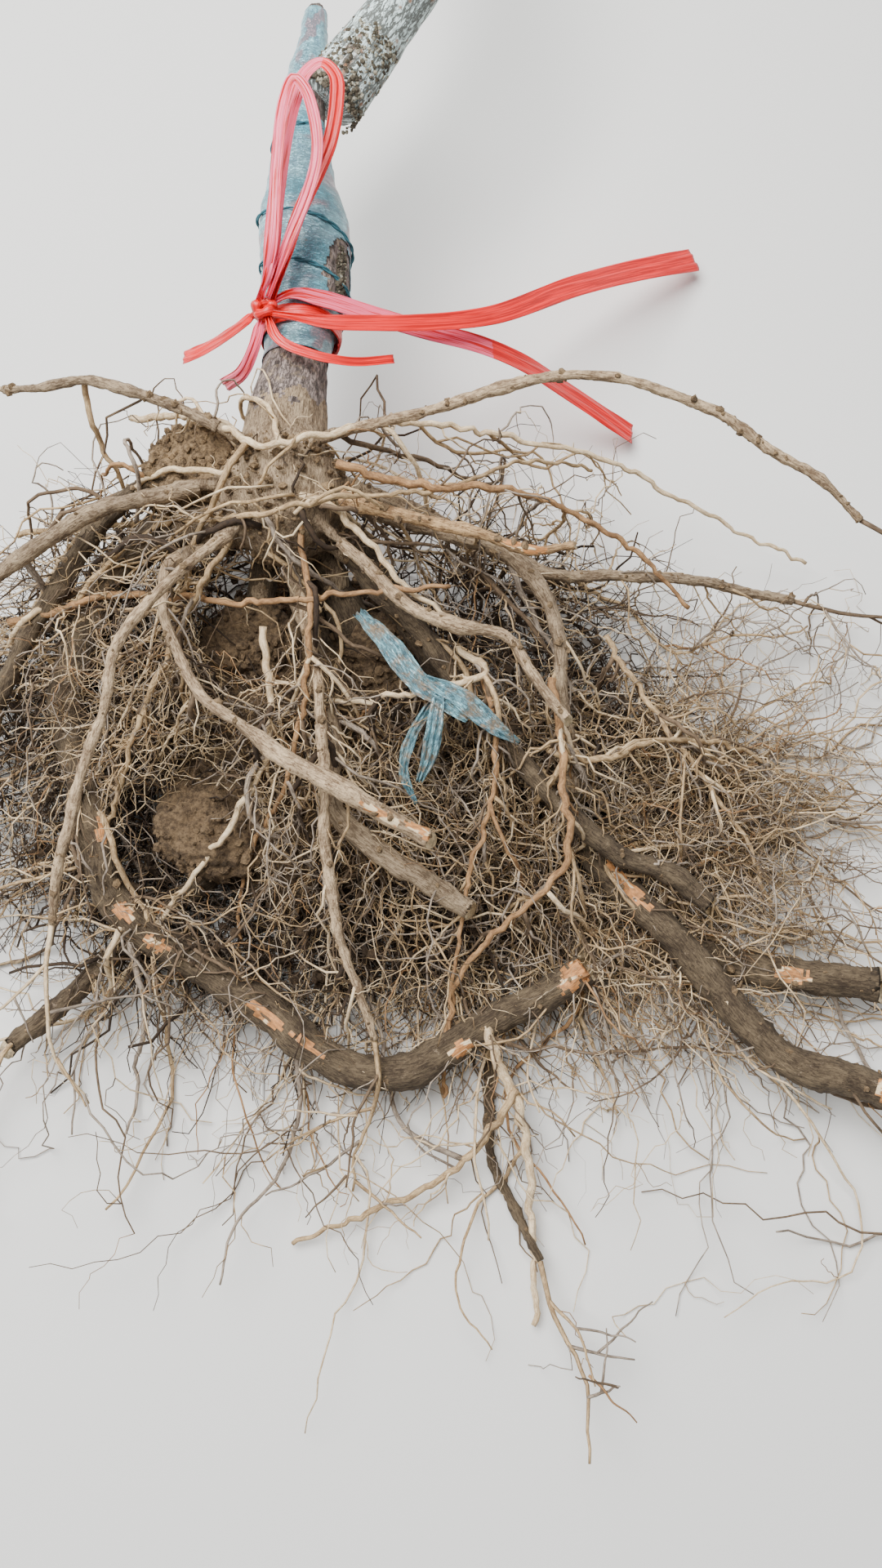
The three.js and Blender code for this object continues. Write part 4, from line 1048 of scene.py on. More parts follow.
def root_radius(root, shares):
    """A root's radius, swollen where it leaves the foot"""
    base = FLARE["length"] / root["length"]
    plain = radius_of(root, shares)
    swollen = mix(FLARE["swell"] * root["thick"], radius_of(root, base), ease(np.clip(shares / base, 0, 1)))
    return np.where(shares < base, swollen, plain)


def ball(middle, half, bands=16):
    """A ball with flattened sides, as closed rings"""
    turn = np.linspace(0.02, math.pi - 0.02, bands)
    angle = np.arange(2 * bands) * math.tau / (2 * bands)
    rings = np.stack([np.sin(turn)[:, None] * np.cos(angle), np.sin(turn)[:, None] * np.sin(angle),
                      -np.cos(turn)[:, None] + 0 * angle], axis=-1)
    corners = rings * half + middle
    return loft(corners[None], corners)


def build_trunk():
    """The rootstock's stem, its swollen foot and the base of each root, fused into one barked skin"""
    rings, _ = trunk_skin(TRUNK_FOOT, STUB_END, spacing=4, sides=40)
    parts = [loft(rings[None], rings), ball(FOOT_MIDDLE, FOOT["half"])]
    for root in MAIN_ROOTS:
        shares = np.linspace(0, 1.6 * FLARE["length"] / root["length"], 10)
        line = CURVES[root["name"]].at(shares)
        parts.append(sweep(line, root_radius(root, shares), sides=16))
    corners, faces, normals = remeshed("trunk", joined(parts), voxel=2.0)
    offset = corners - trunk_at(corners[:, 1])
    grain = np.stack([offset[:, 0], offset[:, 2], corners[:, 1]], axis=-1)
    relief = panel_size("bark_relief")
    ridges = 1.6 * np.abs(rough(grain / [7, 7, 16], 3, 3)) + 0.8 * rough(grain / 14, 2, 8)
    lumpy = ease(np.clip((20 - corners[:, 1]) / 40, 0, 1)) * (3.2 * rough(corners / 17, 3, 15))
    corners = corners + normals * (relief * (ridges - 0.8) + lumpy)[:, None]
    c = colours()
    skin = c.trunk_light, c.trunk_dark, scaled(c.trunk_light, 1.3), 0.25
    bark = bark_finish("rootstock_bark", skin, size=0.0018, stretch=4.0, cracks=0.7, dust=0.3)
    middles = corners[faces[0]].mean(axis=1)
    is_foot = middles[:, 1] < 24 + 14 * rough(middles / 9, 3, 33)
    earthy = root_finish("foot_bark", *ROOT_TINTS["grey"])
    add_mesh("trunk", (corners, faces, grain), [bark, earthy], ["trunk"], is_foot)


def stem_relief(height, size, seed):
    """Shallow ridges along a stem, with a few broad lumps"""
    def relief(grain):
        ridges = np.abs(rough(grain / [size, size, 3.5 * size], 2, seed))
        lumps = rough(grain / [22, 22, 40], 2, seed + 5)
        return height * (1.4 * ridges - 0.5 + 0.9 * lumps)
    return relief


def collars(shares, places, height, spread):
    """Swellings of a stem at given shares of its length"""
    return sum(height * np.exp(-(((shares - place) / spread) ** 2)) for place in places)


def scion_finish():
    """Silvery skin that cracks along the stem into small flakes, with rusty patches"""
    c = colours()
    made = Finish("scion_bark", 0.7)
    skin = made.mottle(c.scion_light, scaled(c.scion_light, 0.74), c.scion_rust, share=0.14, size=0.0036,
                       stretch=3.6)
    coarse = made.furrows(size=0.0036, stretch=4.2, width=0.09)
    fine = made.furrows(size=0.002, stretch=4.5, width=0.06)
    crack = made.math("MAXIMUM", coarse["Crack"], made.times(fine["Crack"], 0.75))
    crack = made.between(crack, 0.3, 0.68)
    cracked = made.blend(made.times(crack, 0.9), skin, c.scion_dark)
    dots = made.dots(size=0.0055, stretch=1.6, width=0.24)
    made.colour(made.blend(made.times(dots, 0.7), cracked, c.scion_rust))
    made.bump(made.plus(coarse["Height"], made.times(dots, 0.4)), 0.0008)
    return made.material


def twig_finish(name, light, dark):
    """Smooth young bark with pale dots"""
    made = Finish(name, 0.5)
    skin = made.mottle(light, dark, colours().scion_light, share=0.1, size=0.01, stretch=4.0)
    dots = made.dots(size=0.0042, stretch=1.6, width=0.16)
    made.colour(made.blend(dots, skin, colours().scion_light))
    made.bump(dots, 0.0003)
    return made.material


SCION_END = {"share": 0.62, "over": 14}  # the scion's thick end is rounded off to this share of its radius


def build_scion():
    """The grafted stem, with a collar where each bough leaves"""
    shares = fractions(SCION, spacing=3.2)
    line = CURVES["scion"].at(shares)
    forks = [bough["at"] for bough in BOUGHS]
    radius = radius_of(SCION, shares) + collars(shares, forks, height=1.6, spread=0.01)
    radius *= mix(SCION_END["share"], 1, np.clip(shares * SCION["length"] / SCION_END["over"], 0, 1) ** 0.5)
    relief = stem_relief(panel_size("bark_relief"), size=6, seed=21)
    shape = sweep(line, radius, sides=44, relief=relief)
    add_mesh("scion", shape, [scion_finish()], ["scion"])


def build_boughs():
    """The boughs, silvery at the scion and browner towards the top"""
    c = colours()
    for i, bough in enumerate(BOUGHS):
        share = 0.35 + 0.08 * i
        light = tone(c.scion_light, c.twig_light, share)
        dark = tone(c.scion_dark, c.twig_dark, share)
        finish = bark_finish(f"{bough['name']}_bark", (light, dark, c.scion_rust, 0.15), size=0.0022,
                             stretch=4.5, cracks=0.6, dust=0.0, depth=0.0005)
        shares = fractions(bough, spacing=2.4)
        radius = radius_of(bough, shares) + 2.2 * np.exp(-shares / 0.03)
        radius = radius + collars(shares, np.arange(0.12, 1, 0.09), height=0.35, spread=0.008)
        relief = stem_relief(height=0.28, size=4, seed=31 + i)
        shape = sweep(CURVES[bough["name"]].at(shares), radius, sides=18, relief=relief)
        add_mesh(bough["name"], shape, [finish], [bough["name"]])


def spindle(starts, ways, lengths, radii):
    """Many small pointed buds: lines with radii that close to a point"""
    shares = np.array([0, 0.25, 0.55, 0.85, 1.0])
    swell = np.array([0.75, 1.0, 0.85, 0.4, 0.06])
    lines = starts[:, None] + ways[:, None] * (shares[:, None] * lengths[:, None, None])
    return sweep(lines, radii[:, None] * swell, sides=6)


def fit(points, count):
    """Evenly spaced points on the smooth line through a shoot's joints"""
    return Curve(points).at(np.linspace(0, 1, count))


# Short side shoots that end in a bud: their sizes, how far apart they stand on twigs and on boughs, and how
# far their tips keep from the box and the ground
SPURS = {"length": (9, 30), "radius": 1.5, "joints": 4, "wander": 0.16, "turn": 144, "every": 26,
         "on_boughs": 34, "margin": 9, "above": 6}
BUD_LENGTH = 6.2
BUD_ONLY = 0.5  # the length of a spur that is no more than a bud


def add_spurs(random, curve, stations, limb_radii, buds, parts):
    """Short spurs set round a limb in turn; every third place has a bud only"""
    way = curve.way(stations)
    aside = unit(np.cross(way, [0.3, 0.2, 1.0]))
    over = np.cross(aside, way)
    turn = np.arange(len(stations)) * math.radians(SPURS["turn"]) + random.random() * math.tau
    out = aside * np.cos(turn)[:, None] + over * np.sin(turn)[:, None]
    start = curve.at(stations) + out * (0.7 * limb_radii)[:, None]
    heading = unit(0.8 * way + 0.7 * out)
    low, high = SPURS["length"]
    length = low + (high - low) * random.random(len(stations)) ** 2
    length[::3] = BUD_ONLY
    lines = [start]
    for _ in range(SPURS["joints"]):
        heading = unit(heading + SPURS["wander"] * random.normal(size=heading.shape))
        lines.append(lines[-1] + heading * (length / SPURS["joints"])[:, None])
    lines = np.stack(lines, axis=1)
    tips = lines[:, -1]
    inside = np.all((tips > LOWEST + SPURS["margin"]) & (tips < HIGHEST - SPURS["margin"]), axis=1)
    inside &= tips[:, 2] > SPURS["above"]
    radii = np.minimum(SPURS["radius"], 0.6 * limb_radii)
    radii = radii[:, None] * np.linspace(1.1, 0.75, SPURS["joints"] + 1)
    grown = length > BUD_ONLY
    parts.append(sweep(lines[inside & grown], radii[inside & grown], sides=6))
    buds.append((tips[inside], heading[inside], np.where(grown, 1.0, 0.8)[inside]))


def add_buds(name, buds, radius, finish):
    """One piece of many buds: where they sit, which way they point, and how big they are"""
    starts, ways, sizes = (np.concatenate(group) for group in zip(*buds))
    add_mesh(name, spindle(starts, ways, BUD_LENGTH * sizes, radius * sizes), [finish])


def build_crown():
    """Bare twigs by the source's rule, with spurs and buds on them and on the boughs"""
    c = colours()
    finish = twig_finish("young_bark", c.twig_light, c.twig_dark)
    bud_finish = fibre_finish("bud_scales", scaled(c.twig_dark, 0.8), scaled(c.twig_dark, 0.5))
    random = np.random.default_rng(7)
    for name, shoots in grow_masses(CROWN_TWIGS, TWIG_RULE).items():
        parts, buds = [], []
        for order, points in shoots:
            base = TWIG_RULE["radius"][order]
            shares = np.linspace(0, 1, 26 if order == 0 else 16)
            curve = Curve(points)
            line = curve.at(shares)
            knots = 1 + 0.12 * np.maximum(0, np.sin(shares * 5 * math.tau / (order + 1))) ** 6
            parts.append(sweep(line, base * mix(1, TWIG_RULE["taper"], shares) * knots, sides=8))
            stations = np.linspace(0.1, 0.96, max(3, int(curve.lengths[-1] / SPURS["every"])))
            limb_radii = base * mix(1, TWIG_RULE["taper"], stations)
            add_spurs(random, curve, stations, limb_radii, buds, parts)
            buds.append((line[-1:], curve.way(np.array([1.0])), np.array([1.25])))
        add_mesh(name, joined(parts), [finish], [name])
        add_buds(f"buds_{name}", buds, radius=1.6, finish=bud_finish)
    build_spurs(random, finish, bud_finish)


def build_spurs(random, finish, bud_finish):
    """Spurs and buds along the boughs and the upper part of the scion"""
    parts, buds = [], []
    for stem in [*BOUGHS, SCION]:
        low = 0.34 if stem is SCION else 0.12
        stations = np.arange(low, 0.98, SPURS["on_boughs"] / stem["length"])
        stations = stations + random.uniform(-0.3, 0.3, len(stations)) * SPURS["on_boughs"] / stem["length"]
        add_spurs(random, CURVES[stem["name"]], stations, radius_of(stem, stations), buds, parts)
    add_mesh("spurs", joined(parts), [finish])
    add_buds("buds_on_boughs", buds, radius=1.7, finish=bud_finish)


# Roots

def root_relief(height, seed):
    """Knobbly bark, with rings of small bumps"""
    def relief(grain):
        knobs = rough(grain / [8, 8, 11], 3, seed)
        fine = np.abs(noise(grain / [2.6, 2.6, 4.5], seed + 9))
        bumps = np.maximum(noise(grain / [3.4, 3.4, 4.6], seed + 19) - 0.35, 0)
        return height * (0.95 * knobs + 0.7 * fine + 1.6 * bumps - 0.3)
    return relief


THICK_ROOT = 8  # roots with a larger radius get more sides
# What multiplies a root's colours, and how much dust lies on it
ROOT_TINTS = {
    "tan": ((1.06, 1.02, 0.94), 0.16),
    "rust": ((1.1, 0.92, 0.68), 0.06),
    "earth": ((0.25, 0.235, 0.205), 0.12),
    "grey": ((0.72, 0.7, 0.66), 0.2),
}
ROOT_TINT_OF = {
    "root_right_cut": "rust", "root_fork_right": "tan", "root_hook": "tan", "root_down": "tan",
    "root_over_right": "tan", "root_over_left": "grey", "root_left_thin": "grey", "root_stub": "grey",
    "root_right_down": "grey", "root_right_far": "grey", "root_rise": "tan",
}
# The spade cut every root but these
WHOLE_ROOTS = ("root_low_front", "root_right_far", "root_down", "root_over_left", "root_over_right",
               "root_rise")
SPLIT_NAMES = {"root_arc_right": ("_base", "_end"), "root_arc_left": ("_base", "_middle", "_end"),
               "root_hook": ("_base", "_end")}


# Scraped places: how far along the root, how many degrees round it from the right, half length and width
SCRAPES = {
    "root_arc_left": [(0.5, 96, 8, 5), (0.54, 78, 9, 4), (0.665, 74, 15, 4.5), (0.71, 92, 12, 3),
                      (0.42, 120, 9, 4), (0.86, 60, 8, 5), (0.985, 90, 14, 9)],
    "root_arc_right": [(0.5, 70, 16, 6), (0.56, 110, 9, 5), (0.9, 80, 12, 5)],
    "root_low_right": [(0.6, 100, 18, 5), (0.985, 90, 10, 8)],
    "root_low_left": [(0.7, 80, 10, 4)],
    "root_hook": [(0.9, 70, 12, 3), (0.97, 110, 8, 4)],
    "root_right_cut": [(0.82, 90, 30, 3)],
}


def scraped(name, places):
    """Whether places on a root's skin are scraped bare"""
    bare = np.zeros(len(places), bool)
    for share, turn, long, broad in SCRAPES.get(name, ()):
        way = CURVES[name].way(share)
        across = unit(np.cross(way, [0, 0, 1]))
        out = across * math.cos(math.radians(turn)) + np.cross(across, way) * math.sin(math.radians(turn))
        offset = places - CURVES[name].at(share) - out * radius_of(LIMBS[name], share)
        reach = dot(offset, way)
        aside = np.linalg.norm(offset - reach[:, None] * way, axis=1)
        bare |= (reach / long) ** 2 + (aside / broad) ** 2 < 1 + 0.8 * rough(places / [3, 3, 3], 2, 5)
    return bare


def build_main_roots():
    """The main roots, each a barked taper with the pale cut that the spade left"""
    finishes = {name: root_finish(f"root_bark_{name}", *values) for name, values in ROOT_TINTS.items()}
    c = colours()
    finishes["cut"] = bare_wood_finish("cut_wood", c.cut_wood, scaled(c.cut_wood, 0.6))
    finishes["scrape"] = bare_wood_finish("scraped_bark", c.root_wound, scaled(c.root_wound, 0.45))
    height = panel_size("root_relief")
    for root in MAIN_ROOTS:
        name = root["name"]
        shares = fractions(root, spacing=2.0)
        shares = shares[shares > 0.9 * FLARE["length"] / root["length"]]
        sides = 26 if root["thick"] > THICK_ROOT else 18
        own_height = height * min(1.2, 0.45 + root["thick"] / 14)
        radius = root_radius(root, shares)
        draw = np.random.default_rng(root["seed"])
        knuckles = draw.uniform(0.1, 0.95, 6)
        radius = radius + collars(shares, knuckles, height=0.16 * root["thin"], spread=12 / root["length"])
        is_cut = name not in WHOLE_ROOTS
        shape = sweep(CURVES[name].at(shares), radius, sides, root_relief(own_height, root["seed"]),
                      slant=0.9 if is_cut else 0.0)
        middles = shape[0][shape[1][0]].mean(axis=1)
        picks = np.append(2 * scraped(name, middles), [0, 1 if is_cut else 0])
        nodes = [name + ending for ending in SPLIT_NAMES.get(name, ("",))]
        finish = finishes[ROOT_TINT_OF.get(name, "earth")]
        add_mesh(name, shape, [finish, finishes["cut"], finishes["scrape"]], nodes, picks)


# The oval in plan where the roots are painted darkest and dark crumbs of soil lie among them, as painted
# shade inside the tangle
DARK_SPREAD = {"middle": (12, -164), "half": (258, 198)}
# The rounded outline in plan that the fine roots stay in: its middle, and half its size
ROOT_SPREAD = {"middle": np.array([86.0, -262.0]), "half": np.array([412.0, 348.0])}


def spread_out(places):
    """How far out a place lies, as a share of the way to the edge of the roots' outline"""
    offset = np.abs(places[..., :2] - ROOT_SPREAD["middle"]) / ROOT_SPREAD["half"]
    return np.sum(offset**2.6, axis=-1) ** (1 / 2.6)


# How high the tangle of thin roots reaches at its edge, how much higher at the foot, and how wide its rise
COVER = {"edge": 34, "rise": 128, "wide": 210}


def cover_height(places):
    """How high the tangle of thin roots reaches above the ground"""
    far = np.linalg.norm((places - FOOT_MIDDLE)[..., :2], axis=-1)
    return COVER["edge"] + COVER["rise"] * np.exp(-((far / COVER["wide"]) ** 2))


# How strongly each thing bends a growing root, against its own heading of 1
PULL = {"out": 0.05, "down": 0.34, "up": 0.2, "sag": 0.035, "off_stem": 0.5, "inward": 0.5}
LOW_ROOT = 9  # a root below this height is bent up
STEM_LIMIT = (44, 0.25)  # how far up the stem roots may grow, and how much further for each step aside
EDGE_ZONE = (0.82, 0.12)  # where the outline starts to bend roots inward, and over how wide a zone


def pull(places):
    """What bends a growing root: out from the foot, down from too high and up from too low, off the stem"""
    out = places - FOOT_MIDDLE
    out[:, 2] = 0
    bend = PULL["out"] * unit(out)
    bend[:, 2] += np.where(places[:, 2] > cover_height(places), -PULL["down"], 0)
    bend[:, 2] += np.where(places[:, 2] < LOW_ROOT, PULL["up"], -PULL["sag"])
    limit = STEM_LIMIT[0] + STEM_LIMIT[1] * np.abs(places[:, 0])
    bend[:, 1] -= np.where(places[:, 1] > limit, PULL["off_stem"], 0)
    inward = np.zeros_like(places)
    inward[:, :2] = ROOT_SPREAD["middle"] - places[:, :2]
    near_edge = np.clip((spread_out(places) - EDGE_ZONE[0]) / EDGE_ZONE[1], 0, 1)
    bend += unit(inward) * (PULL["inward"] * near_edge)[:, None]
    return bend


def off_middle(places):
    """How far a place lies from the middle of the dark oval, 1 at its edge"""
    return off_centre(places[..., :2], DARK_SPREAD["middle"], DARK_SPREAD["half"])


# Where low roots start: how far out in the dark oval, below what height, and the cells that spread them
LOW_ZONE = {"within": 0.9, "below": 110, "cell": 22}


def low_places(places):
    """Even weights for low places inside the dark oval, however many lie close together"""
    cells = np.floor(places[:, :2] / LOW_ZONE["cell"])
    _, cell, counts = np.unique(cells, axis=0, return_inverse=True, return_counts=True)
    inside = (off_middle(places) < LOW_ZONE["within"]) & (places[:, 2] < LOW_ZONE["below"])
    return inside / counts[cell.ravel()]


# Where fine roots grow thickest: the middle and half size of each thicket, and how thick it is
THICKETS = [
    ((80, -170, 60), (440, 185, 220), 1.0),
    ((-115, -150, 50), (110, 150, 110), 1.4),
    ((290, -190, 40), (120, 150, 110), 0.9),
]


def density(places):
    """How thickly fine roots grow: most round the foot and to both sides of it, least below"""
    thick = sum(most * np.exp(-(off_centre(places, middle, half) ** 2)) for middle, half, most in THICKETS)
    return (0.05 + thick) * np.clip(1.2 - spread_out(places), 0.05, 1)


# The gaps that roots keep to the ground and the stem, and from where along the trunk they keep to it
KEEP_OFF = {"ground": 0.4, "stem": 2.5, "stem_from": -20}


def settle(places, radius):
    """Keeps a root above the ground and outside the stem"""
    places[:, 2] = np.maximum(places[:, 2], radius + KEEP_OFF["ground"])
    axis = trunk_at(np.clip(places[:, 1], TRUNK_FOOT, STUB_END))
    offset = (places - axis) * [1, 0, 1]
    far = np.linalg.norm(offset, axis=1)
    room = trunk_radius(places[:, 1]) + KEEP_OFF["stem"]
    inside = (places[:, 1] > KEEP_OFF["stem_from"]) & (far < room)
    places[inside] += (unit(offset) * (room - far)[:, None])[inside]
    return places


def grow_roots(random, start, heading, length, joints, radius, bend, kink):
    """Lines of roots that grow a joint at a time: bend turns them for good, kink for one joint only"""
    points = [start]
    turn = np.zeros_like(start)
    for _ in range(joints):
        turn = 0.5 * turn + bend * random.normal(size=start.shape) * [1, 1, 0.7]
        heading = unit(heading + turn + pull(points[-1]))
        way = unit(heading + kink * random.normal(size=start.shape) * [1, 1, 0.8])
        points.append(settle(points[-1] + way * (length / joints)[:, None], radius))
    return np.stack(points, axis=1)


# The most a root is as thick as the one it leaves, the share cleared off the clods, and how far roots may
# stand above the cover
BRANCHING = {"thickest": 0.85, "cleared": 0.78, "above": 42}


class Stock:
    """Places on grown roots that finer ones may leave"""

    def __init__(self):
        self.groups = []

    def add(self, places, ways, radii, weights):
        self.groups.append((places, ways, radii, weights))

    def add_lines(self, lines, radii, weight=1.0):
        """Lines (n, k, 3) with radii (n, k); weight favours them"""
        legs = np.diff(lines, axis=1)
        sizes = np.linalg.norm(legs, axis=2)
        self.add(lines[:, 1:].reshape(-1, 3), unit(legs).reshape(-1, 3), radii[:, 1:].ravel(),
                 (weight * sizes).ravel())

    def branch(self, random, count, kind, shrink=1.0, favour=density):
        """New roots of one kind from random places: lines and radii"""
        rule = ROOT_KINDS[kind]
        places, ways, stock_radii, weights = (np.concatenate(group) for group in zip(*self.groups))
        weights = np.where(in_soil(places, 0, 0.96), 0, weights) * favour(places)
        pick = random.choice(len(places), count, p=weights / weights.sum())
        way = ways[pick]
        aside = square_to(random.normal(size=(count, 3)), way)
        angle = np.radians(rule["spread"]) * random.uniform(0.5, 1.5, count)[:, None]
        heading = way * np.cos(angle) + aside * np.sin(angle)
        low, high = rule["length"]
        length = low + (high - low) * random.random(count) ** 1.5
        radius = random.uniform(*rule["radius"], count) * shrink
        radius = np.minimum(radius, BRANCHING["thickest"] * stock_radii[pick])
        lines = grow_roots(random, places[pick], heading, length, rule["joints"], radius, rule["bend"],
                           rule["kink"])
        radii = radius[:, None] * np.linspace(1, rule["taper"], rule["joints"] + 1)
        dropped = over_clods(lines) & (random.random(count) < BRANCHING["cleared"])
        dropped |= spread_out(lines).max(axis=1) > 1 + 0.05 * noise(lines[:, -1] / 60, 7)
        dropped |= (lines[..., 2] - cover_height(lines)).max(axis=1) > BRANCHING["above"]
        return lines[~dropped], radii[~dropped]


ROOT_KINDS = {
    "side": dict(length=(120, 360), radius=(1.1, 2.5), joints=30, spread=46, bend=0.1, kink=0.13,
                 taper=0.35, sides=6),
    "low": dict(length=(50, 150), radius=(1.3, 2.7), joints=8, spread=70, bend=0.16, kink=0.3,
                taper=0.5, sides=3),
    "thin": dict(length=(45, 200), radius=(0.6, 1.15), joints=14, spread=52, bend=0.13, kink=0.3,
                 taper=0.45, sides=4),
    "hair": dict(length=(14, 82), radius=(0.75, 1.3), joints=7, spread=60, bend=0.18, kink=0.46,
                 taper=0.6, sides=3),
}
FIBRE_TINTS = {
    "straw": (srgb(244, 222, 184), srgb(176, 148, 110)),
    "tan": (srgb(212, 182, 138), srgb(134, 108, 76)),
    "grey": (srgb(180, 164, 146), srgb(110, 96, 82)),
    "brown": (srgb(126, 104, 80), srgb(82, 66, 50)),
    # A near-black tint that paints shade low in the tangle
    "painted_shade": (srgb(74, 56, 38), srgb(38, 27, 17)),
    "rust": (srgb(186, 144, 98), srgb(118, 86, 56)),
}
# Shares of each tint high on the plant, and down near the ground: lighter tints up high paint highlights,
# and the dark ones down low paint shade
TINT_SHARES = (0.22, 0.3, 0.26, 0.18, 0.0, 0.04), (0.01, 0.05, 0.1, 0.24, 0.58, 0.02)


def over_clods(lines):
    """Whether lines run over a clod, which stays bare"""
    hidden = np.zeros(len(lines), bool)
    for middle, half in SOIL_LUMPS[1:]:
        offset = (lines - np.array(middle)) / (0.85 * np.array(half))
        hidden |= np.any((np.linalg.norm(offset[..., :2], axis=-1) < 1) & (offset[..., 2] > 0), axis=1)
    return hidden


def add_by_tint(random, kind, lines, radii, finishes, replaces=()):
    """One joined piece of each tint; the first takes the place of the nodes"""
    middle = lines[:, lines.shape[1] // 2]
    outer = np.clip((off_middle(lines).max(axis=1) - 0.85) / 0.3, 0, 1)
    # Roots low in the tangle and inside the dark oval take darker tints as painted shade; high and outer
    # ones take lighter tints as painted highlights
    height = np.clip(0.85 * middle[:, 2] / cover_height(middle) + outer, 0, 1)[:, None]
    shares = mix(np.array(TINT_SHARES[1]), np.array(TINT_SHARES[0]), ease(height))
    tints = np.sum(random.random((len(lines), 1)) > np.cumsum(shares, axis=1), axis=1)
    for i, tint in enumerate(FIBRE_TINTS):
        shape = sweep(lines[tints == i], radii[tints == i], ROOT_KINDS[kind]["sides"])
        add_mesh(f"{kind}_roots_{tint}", shape, [finishes[tint]], replaces if i == 0 else ())


def even(line, spacing):
    """A smooth line through points, its places spaced evenly"""
    curve = Curve(line)
    return curve.at(np.linspace(0, 1, int(curve.lengths[-1] / spacing) + 1))


def build_strands(random, finishes, stock):
    """The slender roots that lie over the others, with a few kinks"""
    parts = []
    for radius, route in STRANDS:
        line = even(route, spacing=5)
        line[1:] += 0.9 * random.normal(size=(len(line) - 1, 3)) + 1.6 * rough(line[1:, None] / 24, 2, 5)
        line = even(line, spacing=4)
        radii = radius * np.linspace(1.1, 0.55, len(line)) * (1 + 0.1 * rough(line / 5, 2, 77))
        parts.append(sweep(line, radii, sides=9, relief=root_relief(height=0.22, seed=88)))
        near = 2 * len(line) // 3
        stock.add_lines(line[None, :near], radii[None, :near], weight=2.2)
    for i, tint in enumerate(("straw", "tan", "rust")):
        add_mesh(f"strands_{tint}", joined(parts[i::3]), [finishes[tint]])


def both(first, second):
    """Two sets of lines and radii as one"""
    return tuple(np.concatenate(pair) for pair in zip(first, second))


def first_stock(random):
    """The main roots and places on the foot, which the first fine roots leave"""
    stock = Stock()
    for root in MAIN_ROOTS:
        shares = np.linspace(0.08, 1, 40)
        stock.add_lines(CURVES[root["name"]].at(shares)[None], radius_of(root, shares)[None])
    out = unit(random.normal(size=(160, 3)) * [1, 1, 0.8] + [0, 0.1, 0.5])
    stock.add(FOOT_MIDDLE + out * FOOT["half"], out, np.full(len(out), 4.0), np.full(len(out), 8.0))
    return stock


MASS_JOINTS = 15


def mass_lines():
    """Lines and radii of the shoots that the masses of fine roots stand for, made a little wavy"""
    shoots = [shoot for shoots in grow_masses(ROOT_FIBRES, FIBRE_RULE).values() for shoot in shoots]
    lines = np.array([fit(points, MASS_JOINTS) for _, points in shoots])
    wave = np.stack([rough(lines / 12, 2, seed) for seed in (91, 92, 93)], axis=-1)
    lines += 3.0 * np.linspace(0, 1, MASS_JOINTS)[:, None] * wave
    lines[..., 2] = np.maximum(lines[..., 2], 1.5)
    base = np.array([0.8 * FIBRE_RULE["radius"][order] for order, _ in shoots])
    return lines, base[:, None] * np.linspace(0.9, 0.4, MASS_JOINTS)


def build_low_roots(random, stock, thin_lines, finish):
    """Dark roots that lie lowest, with crumbs of the darkest soil among them: dark things that paint shade
    low in the tangle
    """
    amounts = bpy.context.scene.sapling_amounts
    lines, radii = stock.branch(random, amounts.low_roots, "low", favour=low_places)
    lines[..., 2] *= 0.6
    add_mesh("low_roots", sweep(lines, radii, ROOT_KINDS["low"]["sides"]), [finish])
    places = np.concatenate([lines.reshape(-1, 3), thin_lines.reshape(-1, 3)])
    places = places[(off_middle(places) < 0.85) & (places[:, 2] < 50)]
    add_crumbs(random, "shade_crumbs_among_roots", places, amounts.low_crumbs, largest=4.0,
               finish=soil_finish("painted_shade_soil", dark_share=1.0), power=1.4)


def build_fine_roots():
    """Side roots, thin roots and hair roots, each growing on from the ones before"""
    amounts = bpy.context.scene.sapling_amounts
    finishes = {name: fibre_finish(f"fine_root_{name}", *pair) for name, pair in FIBRE_TINTS.items()}
    random = np.random.default_rng(11)
    stock = first_stock(random)
    build_strands(random, finishes, stock)
    side = stock.branch(random, amounts.side_roots, "side")
    add_by_tint(random, "side", *side, finishes)
    stock.add_lines(*side, weight=1.6)
    coarse = mass_lines()
    stock.add_lines(*coarse, weight=2.0)
    thin = both(stock.branch(random, amounts.thin_roots, "thin"), coarse)
    add_by_tint(random, "thin", *thin, finishes, [spec["name"] for spec in ROOT_FIBRES])
    stock.add_lines(*thin, weight=1.3)
    build_low_roots(random, stock, thin[0], finishes["painted_shade"])
    radius = panel_size("hair_radius")
    first = stock.branch(random, amounts.hair_roots // 2, "hair", radius)
    stock.add_lines(*first, weight=1.5)
    second = stock.branch(random, amounts.hair_roots // 2, "hair", radius)
    add_by_tint(random, "hair", *both(first, second), finishes)


# Soil

def soil_finish(name, dark_share):
    """Grainy soil; a higher share darkens it, which paints shade on soil under and among the roots, and a
    share of 1 is the darkest
    """
    made = Finish(name, 1.0)
    c = colours()
    light = tone(c.soil_light, c.soil_dark, 0.8 * dark_share)
    dark = tone(c.soil_light, c.soil_dark, 0.75 + 0.25 * dark_share)
    grains = made.noise(made.grain(0.0032, 1.0), 5.0, roughness=0.75)
    lumps = made.times(made.minus(made.noise(made.grain(0.012, 1.0), 3.0), 0.5), 0.4)
    made.colour(made.blend(made.between(made.plus(grains, lumps), 0.4, 0.62), dark, light))
    made.bump(grains, 0.004)
    return made.material


